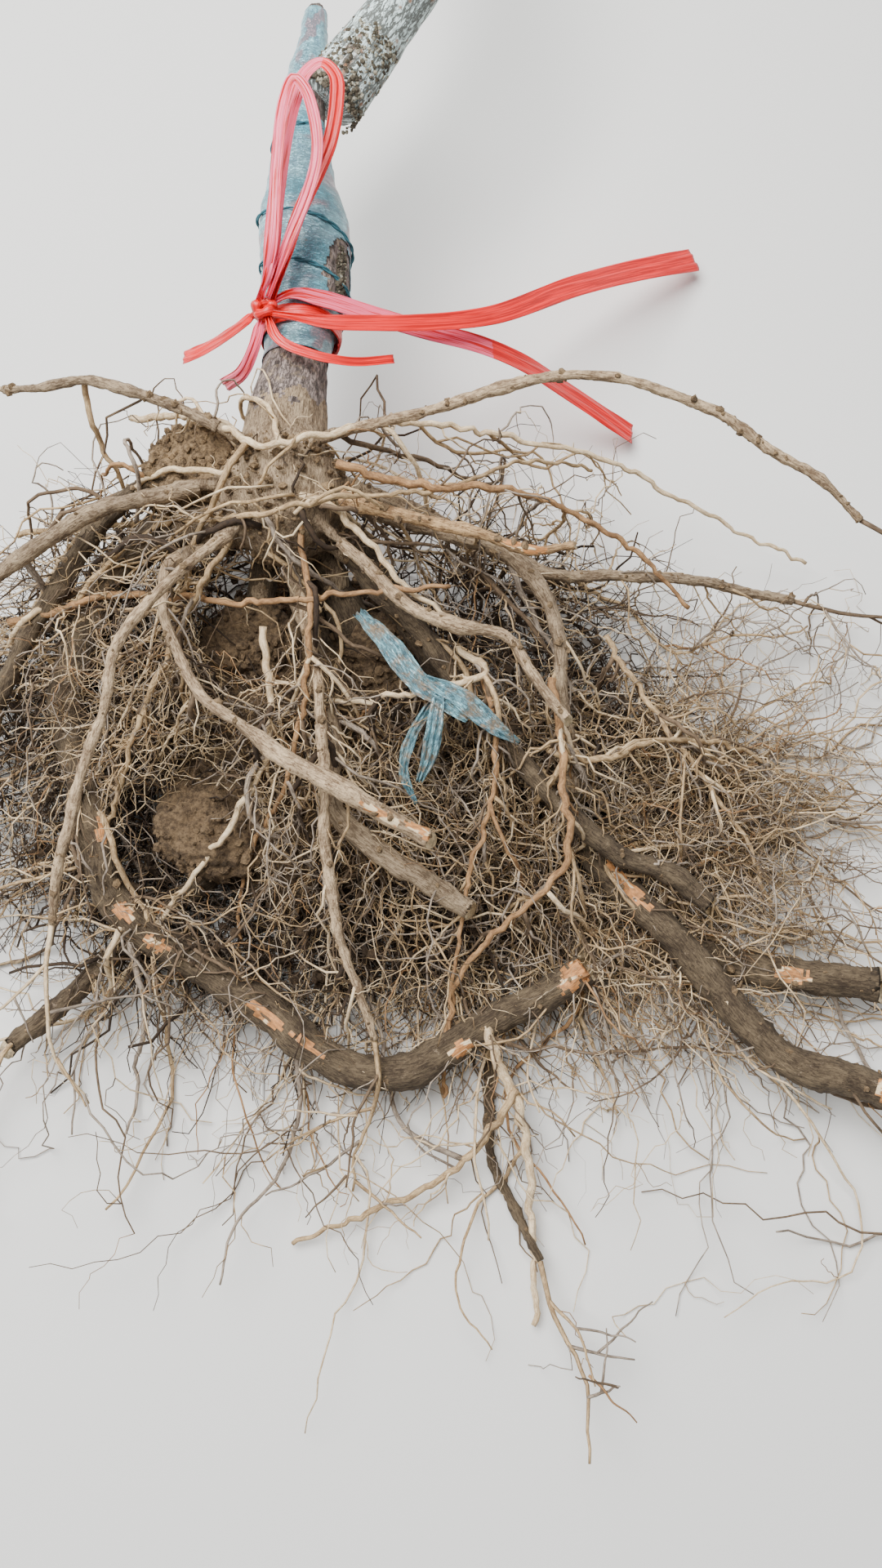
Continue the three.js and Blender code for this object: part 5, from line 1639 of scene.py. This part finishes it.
def build_soil():
    """Crumbly soil among the roots, and loose crumbs on the roots near it"""
    # The core's soil is its own brown darkened by half the share, as painted shade under the tangle; the
    # clod's and the crumbs' on the roots is not
    finishes = [soil_finish("soil_with_painted_shade", dark_share=0.5), soil_finish("dry_soil", dark_share=0.0)]
    groups = {"soil_core": SOIL_LUMPS[:4], "soil_clod": SOIL_LUMPS[4:]}
    surfaces = []
    for i, (name, lumps) in enumerate(groups.items()):
        balls = [ball(np.array(middle), np.array(half), bands=18) for middle, half in lumps]
        corners, faces, normals = remeshed(name, joined(balls), voxel=2.6)
        swell = 6 * rough(corners / 26, 2, 5) + 4.4 * rough(corners / 11, 2, 9)
        swell += 4 * np.abs(rough(corners / 5.5, 2, 13))
        corners = corners + normals * (swell - 2.6)[:, None]
        corners[:, 2] = np.maximum(corners[:, 2], 0.05)
        add_mesh(name, (corners, faces, corners), [finishes[i]], [name])
        surfaces.append(corners[corners[:, 2] > 3])
    build_crumbs(surfaces, finishes)


def crumb_places(random):
    """Places on the upper sides of the main roots and on the foot, where crumbs cling"""
    places = []
    for root in MAIN_ROOTS:
        count = int(0.25 * root["length"] * root["thick"] ** 0.5)
        shares = random.random(count) ** 1.3
        ways = unit(random.normal(size=(count, 3)) + [0, 0, 0.8])
        places.append(CURVES[root["name"]].at(shares) + ways * radius_of(root, shares)[:, None])
    out = unit(random.normal(size=(900, 3)) + [-0.3, 0, 0.6])
    places.append(FOOT_MIDDLE + out * (FOOT["half"] + 1))
    return np.concatenate(places)


def add_crumbs(random, name, places, count, largest, finish, power=4):
    """Small lumps with corners of their own, scattered over places; power sets how rare large ones are"""
    shape = bmesh.new()
    bmesh.ops.create_icosphere(shape, subdivisions=1, radius=1)
    corners = np.array([corner.co[:] for corner in shape.verts])
    faces = np.array([[corner.index for corner in face.verts] for face in shape.faces])
    shape.free()
    middle = places[random.choice(len(places), count)]
    size = 0.7 + largest * random.random(count) ** power
    squeeze = random.uniform(0.6, 1.3, (count, 1, 3)) * random.uniform(0.75, 1.2, (count, len(corners), 1))
    lumps = middle[:, None] + corners * squeeze * size[:, None, None]
    lumps[..., 2] = np.maximum(lumps[..., 2], 0.1)
    index = faces + (np.arange(count) * len(corners))[:, None, None]
    flat = lumps.reshape(-1, 3)
    add_mesh(name, (flat, [index.reshape(-1, 3)], flat), [finish], smooth=False)


CRUMB_SHARES = {"core": 0.34, "clod": 0.16, "roots": 0.5}  # of all the crumbs


def build_crumbs(surfaces, finishes):
    """Crumbs on the core, on the clod and on the main roots"""
    random = np.random.default_rng(19)
    amount = bpy.context.scene.sapling_amounts.crumbs
    core, clod, roots = (int(share * amount) for share in CRUMB_SHARES.values())
    add_crumbs(random, "crumbs_core", surfaces[0], core, largest=3.6, finish=finishes[0], power=2)
    add_crumbs(random, "crumbs_clod", surfaces[1], clod, largest=3.2, finish=finishes[1], power=2)
    add_crumbs(random, "crumbs_on_roots", crumb_places(random), roots, largest=2.6, finish=finishes[1])


# Film and ribbon

def film_finish(name, tight_places, cream_share, worn_and_shaded=0.0):
    """Cloudy film: bark shows through it in patches, pale lines on its wrinkles are painted highlights,
    dark lines in its creases are painted shade, and tight turns are bluer
    """
    c = colours()
    made = Finish(name, 0.32)
    light = scaled(c.film_light, 1 - 0.2 * worn_and_shaded)
    dark = scaled(c.film_dark, 1 - 0.5 * worn_and_shaded)
    skin = made.mottle(light, dark, c.film_cream, cream_share, size=0.007, stretch=1.5)
    lines = made.furrows(size=0.0015, stretch=6.0, width=0.05)
    place = made.add("ShaderNodeAttribute", attribute_name="grain").outputs["Vector"]
    height = made.add("ShaderNodeSeparateXYZ", {0: place}).outputs["X"]
    tight = 0.0
    for middle in tight_places:
        away = made.math("ABSOLUTE", made.minus(height, middle * MM))
        tight = made.math("MAXIMUM", tight, made.between(away, 0.012, 0.005))
    stretched = made.blend(made.times(tight, 0.8), skin, c.film_tight)
    wrinkles = made.furrows(size=0.0021, stretch=1.6, width=0.028)["Crack"]
    # Pale lines on the wrinkles: painted highlights
    pale = made.blend(made.times(wrinkles, 0.55), stretched, scaled(c.film_light, 1.3))
    # Dark lines in the creases: painted shade, stronger and darker on worn scraps
    creases = made.times(lines["Crack"], 0.4 + 0.5 * worn_and_shaded)
    crease_shaded = made.blend(creases, pale, scaled(c.film_dark, 0.7 - 0.5 * worn_and_shaded))
    made.colour(made.dusted(crease_shaded, c.dust, 0.1 + 0.35 * worn_and_shaded, 0.01))
    made.bump(made.plus(lines["Height"], wrinkles), 0.0006)
    made.coat(weight=0.35, roughness=0.22)
    return made.material


FILM_TURN = 19  # how far apart the turns of the film are
FILM_THICKNESS = 0.35
FILM_TIGHT = (100, 128, 176, 232)  # where its turns lie close together
FILM_LOOSE = {"at": 284, "over": 22, "by": 2.2}  # where it stands off the stub
# Ties of twisted film over it: place, how far it runs back in a quarter turn, and its radius
FILM_TIES = [(157, 11, 1.2), (120, 12, 1.1), (232, -5, 0.8), (96, 2, 0.8)]


def build_film():
    """Stretched film wound round the graft and the stub, torn open over the callus"""
    step = panel_size("film_step")

    def relief(angle, place, grain):
        turn = place / FILM_TURN + angle / math.tau
        edge = turn - np.floor(turn)
        winding = np.stack([place / 3.4 + 0 * angle, angle * 1.6 + 0 * place, turn], axis=-1)
        wrinkles = 0.26 * rough(winding, 3, 41)
        lumps = 0.9 * rough(grain / [17, 17, 22], 2, 43)
        loose = FILM_LOOSE["by"] * np.exp(-(((place - FILM_LOOSE["at"]) / FILM_LOOSE["over"]) ** 2))
        return WRAP["gap"] + FILM_THICKNESS + step * edge + wrinkles + lumps + loose

    sides = 108
    rings, skin_grain = trunk_skin(WRAP["from"], WRAP["to"], 2.0, sides, relief)
    height = skin_grain[..., 2]
    around = np.mod(np.arange(sides) * math.tau / sides + math.pi / 2, math.tau) * 25
    winding = np.stack([height, 0 * height, around + 0 * height], axis=-1)
    corners, (quads, _, _), grain = loft(rings[None], winding)
    middles = corners[quads].mean(axis=1)
    ragged = 0.14 * rough(middles / 7, 2, 47)
    torn = off_centre(middles, TEAR["middle"], TEAR["half"]) < 1 + ragged
    stem = CURVES["scion"].at(np.linspace(0, 0.12, 60))
    near_stem = np.linalg.norm(middles[:, None] - stem, axis=2).min(axis=1) < SCION["thick"] - 1
    quads = quads[~(torn | near_stem)]
    finish = film_finish("grafting_film", FILM_TIGHT, cream_share=0.36)
    obj = add_mesh("graft_wrap", (corners, [quads], grain), [finish], ["graft_wrap"])
    thicken(obj, FILM_THICKNESS)
    build_ties()
    build_callus()


def build_ties():
    """Twisted strands of film tied round the graft"""
    parts = []
    for k, (place, back, radius) in enumerate(FILM_TIES):
        turn = np.linspace(-0.45, 1.25, 90) * math.pi
        for strand in (0, 1):
            twist = turn * 9 + strand * math.pi + k
            at = place - back * (math.pi / 2 - turn) / (math.pi / 2) + 0.8 * radius * np.cos(twist)
            spokes = spokes_at(turn)
            reach = trunk_radius(at) * wide(turn, at) + 1.5 + 0.4 * radius * np.sin(twist)
            reach = reach + 0.9 * rough(spokes * trunk_radius(at)[:, None] / 17, 2, 43)
            parts.append(sweep(trunk_at(at) + spokes * reach[:, None], 0.62 * radius, sides=6))
    finish = fibre_finish("film_tie", scaled(colours().film_tight, 0.55), scaled(colours().film_tight, 0.2))
    add_mesh("film_ties", joined(parts), [finish])


# The callus: how many places its lumps are drawn from, how far up the scion it reaches, and their counts
CALLUS = {"places_in_tear": 500, "places_on_scion": 1500, "up_scion": 0.042, "crust": 900, "flakes": 500}


def build_callus():
    """Crusty callus in the tear of the film and where the scion leaves the stub"""
    random = np.random.default_rng(29)
    out = unit(random.normal(size=(CALLUS["places_in_tear"], 3)) + [1.4, 0, 1.2])
    places = np.array(TEAR["middle"]) + out * TEAR["half"] * [0.35, 0.8, 0.35]
    axis = trunk_at(places[:, 1])
    offset = (places - axis) * [1, 0, 1]
    reach = trunk_radius(places[:, 1]) + random.uniform(-0.5, 1.0, len(places))
    places = axis + unit(offset) * reach[:, None]
    finishes = [fibre_finish("callus", srgb(108, 100, 82), srgb(52, 46, 36)),
                fibre_finish("callus_light", srgb(186, 186, 168), srgb(118, 106, 84))]
    shares = CALLUS["up_scion"] * random.random(CALLUS["places_on_scion"]) ** 1.2
    way = CURVES["scion"].way(shares)
    out = square_to(random.normal(size=way.shape) + [-0.2, -1.3, 0.9], way)
    collar = CURVES["scion"].at(shares) + out * (radius_of(SCION, shares) - 0.6)[:, None]
    places = np.concatenate([places, collar])
    add_crumbs(random, "callus_crust", places, CALLUS["crust"], largest=1.7, finish=finishes[0],
               power=2)
    add_crumbs(random, "callus_flakes", places, CALLUS["flakes"], largest=1.4, finish=finishes[1],
               power=2)


def thicken(obj, thickness):
    """Gives a single skin its thickness, inwards, and drops corners that no face uses"""
    solid = obj.modifiers.new("thickness", "SOLIDIFY")
    solid.thickness = thickness * MM
    solid.offset = -1
    made = evaluated_mesh(obj)
    obj.modifiers.clear()
    obj.data = made


def ribbon_finish(name, base, streak, share):
    """Thin glossy plastic in lengthwise streaks"""
    made = Finish(name, 0.36)
    place = made.grain(0.0011, 40.0)
    streaks = made.between(made.noise(place, 3.0), 0.62 - 0.3 * share, 0.7 - 0.3 * share)
    made.colour(made.blend(streaks, base, streak))
    made.bump(made.noise(made.grain(0.0008, 30.0), 3.0), 0.0005)
    made.coat(weight=0.3, roughness=0.3)
    return made.material


def ribbon_profile(count, half, pleats, depth, phase, thick=0.22):
    """A folded section across a ribbon, as a closed outline: places across and over"""
    across = np.linspace(-1, 1, count)
    wave = np.sin(pleats * math.pi * across[None] + phase[:, None]) * depth[:, None]
    over = wave + 0.35 * depth[:, None] * np.sin(2.3 * pleats * math.pi * across[None] + 2 * phase[:, None])
    upper = np.stack([half[:, None] * across, over + thick], axis=-1)
    lower = np.stack([half[:, None] * across, over - thick], axis=-1)[:, ::-1]
    return np.concatenate([upper, lower], axis=1)


def flat_frames(ways):
    """Unit vectors across and over a strip that starts flat"""
    across, over = carried(np.cross(ways[:1], [0, 0, 1]), ways[None])
    return across[0], over[0]


def add_folded(name, line, across, over, folds, finishes, replaces=(), picks=None, shade=0.0):
    """A strip with its folds, carried along a line"""
    rings = line[:, None] + across[:, None] * folds[..., :1] + over[:, None] * folds[..., 1:]
    legs = np.append(0, np.cumsum(np.linalg.norm(np.diff(line, axis=0), axis=1)))
    across_grain, over_grain = folds[..., 0] + shade, 0.3 * folds[..., 1]
    grain = np.stack([across_grain, over_grain, legs[:, None] + 0 * across_grain], axis=-1)
    add_mesh(name, loft(rings[None], grain), finishes, replaces, picks)


def build_ribbon():
    """Ribbon tied round the trunk: band, knot, the two loops of its bow and its ends"""
    c = colours()
    # The pink finish paints light shining through single ribbon
    finishes = [ribbon_finish("ribbon_red", c.ribbon_red, scaled(c.ribbon_red, 1.5, 6, 6), 0.5),
                ribbon_finish("ribbon_backlit_pink", c.ribbon_red, c.ribbon_backlit_pink, 0.66)]
    for seed, spec in enumerate(RIBBON_STRIPS):
        route = [KNOT + spec["leaves"], *spec["points"]]
        if spec["returns"]:
            route.append(KNOT + spec["returns"])
        curve = Curve(route)
        shares = np.linspace(0, 1, int(curve.lengths[-1] / RIBBON["step"]))
        opened = ease(np.clip(shares / RIBBON["pinch"], 0, 1))
        if spec["returns"]:
            opened = opened * ease(np.clip((1 - shares) / RIBBON["pinch"], 0, 1))
        width = mix(RIBBON["pinched"], mix(spec["wide"], spec["wide_end"], shares), opened)
        across, over = flat_frames(curve.way(shares))
        drift = 0.5 * noise(np.stack([shares * 7, shares, shares], axis=-1), seed)
        depth = 0.35 + 1.0 * (1 - opened) + 0.3 * np.abs(drift)
        folds = ribbon_profile(22, width / 2, RIBBON["pleats"], depth, drift * 4 + seed)
        ring_of = np.repeat(shares[:-1], folds.shape[1])
        # The first part of a strip is painted pink, for light shining through it, up to where it turns red
        is_backlit_pink = (ring_of < spec["turns_red"]) & spec["backlit_pink"]
        picks = np.concatenate([is_backlit_pink, [is_backlit_pink[0], is_backlit_pink[-1]]])
        add_folded(spec["name"], curve.at(shares), across, over, folds, finishes, [spec["name"]],
                   picks, 60 * seed)
    build_band(finishes[0])
    build_knot(finishes[0])


# Torn film that is caught among the roots: its width, then its route
SCRAPS = [
    (15, [(50, -112, 128), (68, -134, 134), (88, -160, 132), (104, -172, 130), (118, -182, 126)]),
    (13, [(92, -158, 131), (112, -168, 130), (136, -186, 122), (150, -192, 112)]),
    (11, [(100, -166, 131), (98, -184, 130), (94, -204, 120), (88, -216, 108)]),
    (8, [(96, -170, 126), (84, -188, 116), (78, -208, 104), (86, -226, 92)]),
]


def build_scraps():
    """Crumpled scraps of film among the roots"""
    # Worn scraps take more dust, and darker painted shade in their creases
    finish = film_finish("film_scrap", (), cream_share=0.0, worn_and_shaded=1.0)
    for seed, (width, route) in enumerate(SCRAPS):
        line = even(route, spacing=1.8)
        curve = Curve(route)
        shares = np.linspace(0, 1, len(line))
        across, over = flat_frames(curve.way(shares))
        taper = 1 - 0.55 * np.abs(2 * shares - 0.9) ** 2 + 0.1 * rough(line[:, None] / 9, 2, seed)[:, 0]
        phase = 1.2 * noise(line / 14, 60 + seed) + seed
        depth = 1.2 + 0.8 * noise(line / 8, 70 + seed)
        folds = ribbon_profile(24, 0.5 * width * taper, 2.6, depth, phase, thick=0.12)
        folds[..., 1] += 1.1 * rough((line[:, None] + across[:, None] * folds[..., :1]) / 5, 3, 80 + seed)
        add_folded(f"film_scrap_{seed + 1}", line, across, over, folds, [finish])


def build_band(finish):
    """The band, wound round the trunk"""
    wraps = 3
    turn = np.linspace(0, wraps * math.tau, 150)
    at = RIBBON["band_at"] + 2.2 * np.sin(turn / wraps / 2 + 0.6)
    reach = trunk_radius(at) + WRAP["thickness"] + 0.9 + 0.25 * np.sin(2.3 * turn)
    spokes = spokes_at(turn)
    line = trunk_at(at) + spokes * reach[:, None]
    width = 5.2 + 0.8 * np.sin(1.7 * turn)
    folds = ribbon_profile(16, width, 3.0, np.full(len(turn), 0.45), turn)
    across = np.broadcast_to([0.0, 1.0, 0.0], spokes.shape)
    add_folded("ribbon_band", line, across, spokes, folds, [finish], ["ribbon_band"])


def build_knot(finish):
    """The knot, as a strand wrapped over and over"""
    turn = np.linspace(0, 2.6 * math.tau, 140)
    half = np.array([RIBBON["knot_radius"], RIBBON["knot_length"], RIBBON["knot_radius"]])
    tilt = 0.7 * np.sin(turn * 0.8)
    line = KNOT + 0.62 * half * np.stack([np.cos(turn), np.sin(turn) * np.cos(tilt) * 0.9,
                                          np.sin(turn) * np.sin(tilt) + 0.5 * np.cos(turn * 1.3)], axis=-1)
    radius = 2.9 + 0.5 * np.sin(5 * turn)
    shape = sweep(line, radius, 12, lambda grain: 0.5 * rough(grain / [1.6, 1.6, 7], 2, 51))
    add_mesh("ribbon_knot", shape, [finish], ["ribbon_knot"])


# Stage

CAMERA = {"place": (101.5, -427.5, 890), "tilt": 15, "lens": 30, "sensor": 36}
LAMP = {"place": (-700, 500, 2300), "aim": (0, -100, 60), "size": 2.0, "power": 165}
SKY = {"colour": (0.92, 0.96, 1.0, 1), "strength": 0.42}
FLOOR = {"size": 40, "below": 0.0006, "colour": (0.78, 0.77, 0.74), "roughness": 0.9}


def build_stage():
    bpy.ops.mesh.primitive_plane_add(size=FLOOR["size"], location=(0, 0, -FLOOR["below"]))
    floor = bpy.context.object
    floor.name = "floor"
    made = Finish("pale_floor", FLOOR["roughness"])
    made.colour(FLOOR["colour"])
    floor.data.materials.append(made.material)
    world = bpy.data.worlds.new("soft_sky")
    bpy.context.scene.world = world
    world.use_nodes = True
    sky = world.node_tree.nodes["Background"]
    sky.inputs["Color"].default_value = SKY["colour"]
    sky.inputs["Strength"].default_value = SKY["strength"]
    lamp = add_object("window", bpy.data.lights.new("window", "AREA"))
    lamp.data.size = LAMP["size"]
    lamp.data.energy = LAMP["power"]
    lamp.location = placed(LAMP["place"])
    aim = Vector(placed(LAMP["aim"]))
    lamp.rotation_euler = (aim - lamp.location).to_track_quat("-Z", "Y").to_euler()
    camera = add_object("camera", bpy.data.cameras.new("camera"))
    camera.data.sensor_fit = "VERTICAL"
    camera.data.sensor_height = CAMERA["sensor"]
    camera.data.lens = CAMERA["lens"]
    camera.location = placed(CAMERA["place"])
    camera.rotation_euler = (math.radians(CAMERA["tilt"]), 0, 0)
    bpy.context.scene.camera = camera


class SAPLING_OT_stage(bpy.types.Operator):
    """Add the floor, the soft light and the camera"""
    bl_idname = "sapling.stage"
    bl_label = "Stage"

    def execute(self, context):
        build_stage()
        return {"FINISHED"}


class SAPLING_OT_trunk(bpy.types.Operator):
    """Add the rootstock with its foot"""
    bl_idname = "sapling.trunk"
    bl_label = "Trunk"

    def execute(self, context):
        build_trunk()
        return {"FINISHED"}


class SAPLING_OT_scion(bpy.types.Operator):
    """Add the grafted stem"""
    bl_idname = "sapling.scion"
    bl_label = "Scion"

    def execute(self, context):
        build_scion()
        return {"FINISHED"}


class SAPLING_OT_boughs(bpy.types.Operator):
    """Add the boughs"""
    bl_idname = "sapling.boughs"
    bl_label = "Boughs"

    def execute(self, context):
        build_boughs()
        return {"FINISHED"}


class SAPLING_OT_crown(bpy.types.Operator):
    """Add the bare twigs and their buds"""
    bl_idname = "sapling.crown"
    bl_label = "Twigs and buds"

    def execute(self, context):
        build_crown()
        return {"FINISHED"}


class SAPLING_OT_main_roots(bpy.types.Operator):
    """Add the main roots"""
    bl_idname = "sapling.main_roots"
    bl_label = "Main roots"

    def execute(self, context):
        build_main_roots()
        return {"FINISHED"}


class SAPLING_OT_fine_roots(bpy.types.Operator):
    """Add side roots, thin roots and hair roots"""
    bl_idname = "sapling.fine_roots"
    bl_label = "Fine roots"

    def execute(self, context):
        build_fine_roots()
        return {"FINISHED"}


class SAPLING_OT_soil(bpy.types.Operator):
    """Add the soil that is left among the roots"""
    bl_idname = "sapling.soil"
    bl_label = "Soil"

    def execute(self, context):
        build_soil()
        return {"FINISHED"}


class SAPLING_OT_film(bpy.types.Operator):
    """Add the film round the graft"""
    bl_idname = "sapling.film"
    bl_label = "Grafting film"

    def execute(self, context):
        build_film()
        return {"FINISHED"}


class SAPLING_OT_scraps(bpy.types.Operator):
    """Add the torn film that is caught among the roots"""
    bl_idname = "sapling.scraps"
    bl_label = "Film scraps"

    def execute(self, context):
        build_scraps()
        return {"FINISHED"}


class SAPLING_OT_ribbon(bpy.types.Operator):
    """Add the ribbon with its bow"""
    bl_idname = "sapling.ribbon"
    bl_label = "Ribbon"

    def execute(self, context):
        build_ribbon()
        return {"FINISHED"}


OPERATORS = [SAPLING_OT_stage, SAPLING_OT_trunk, SAPLING_OT_scion, SAPLING_OT_boughs, SAPLING_OT_crown,
             SAPLING_OT_main_roots, SAPLING_OT_fine_roots, SAPLING_OT_soil, SAPLING_OT_film,
             SAPLING_OT_scraps, SAPLING_OT_ribbon]
PROPERTY_GROUPS = {"sapling_colours": SaplingColours, "sapling_amounts": SaplingAmounts,
                   "sapling_sizes": SaplingSizes}


class SAPLING_PT_pieces(bpy.types.Panel):
    """The plant's pieces, and the sizes and colours they are made with"""
    bl_label = "Sapling"
    bl_idname = "SAPLING_PT_pieces"
    bl_space_type = "VIEW_3D"
    bl_region_type = "UI"
    bl_category = "Sapling"

    def draw(self, context):
        for operator in OPERATORS:
            self.layout.operator(operator.bl_idname)
        for name, group in PROPERTY_GROUPS.items():
            box = self.layout.box()
            for field in group.__annotations__:
                box.prop(getattr(context.scene, name), field)


def register():
    for cls in [*PROPERTY_GROUPS.values(), *OPERATORS, SAPLING_PT_pieces]:
        bpy.utils.register_class(cls)
    for name, group in PROPERTY_GROUPS.items():
        setattr(bpy.types.Scene, name, PointerProperty(type=group))


def unregister():
    for name in PROPERTY_GROUPS:
        delattr(bpy.types.Scene, name)
    for cls in reversed([*PROPERTY_GROUPS.values(), *OPERATORS, SAPLING_PT_pieces]):
        bpy.utils.unregister_class(cls)


def main():
    register()
    for operator in OPERATORS:
        getattr(bpy.ops.sapling, operator.bl_idname.split(".")[1])()


if __name__ == "__main__":
    main()
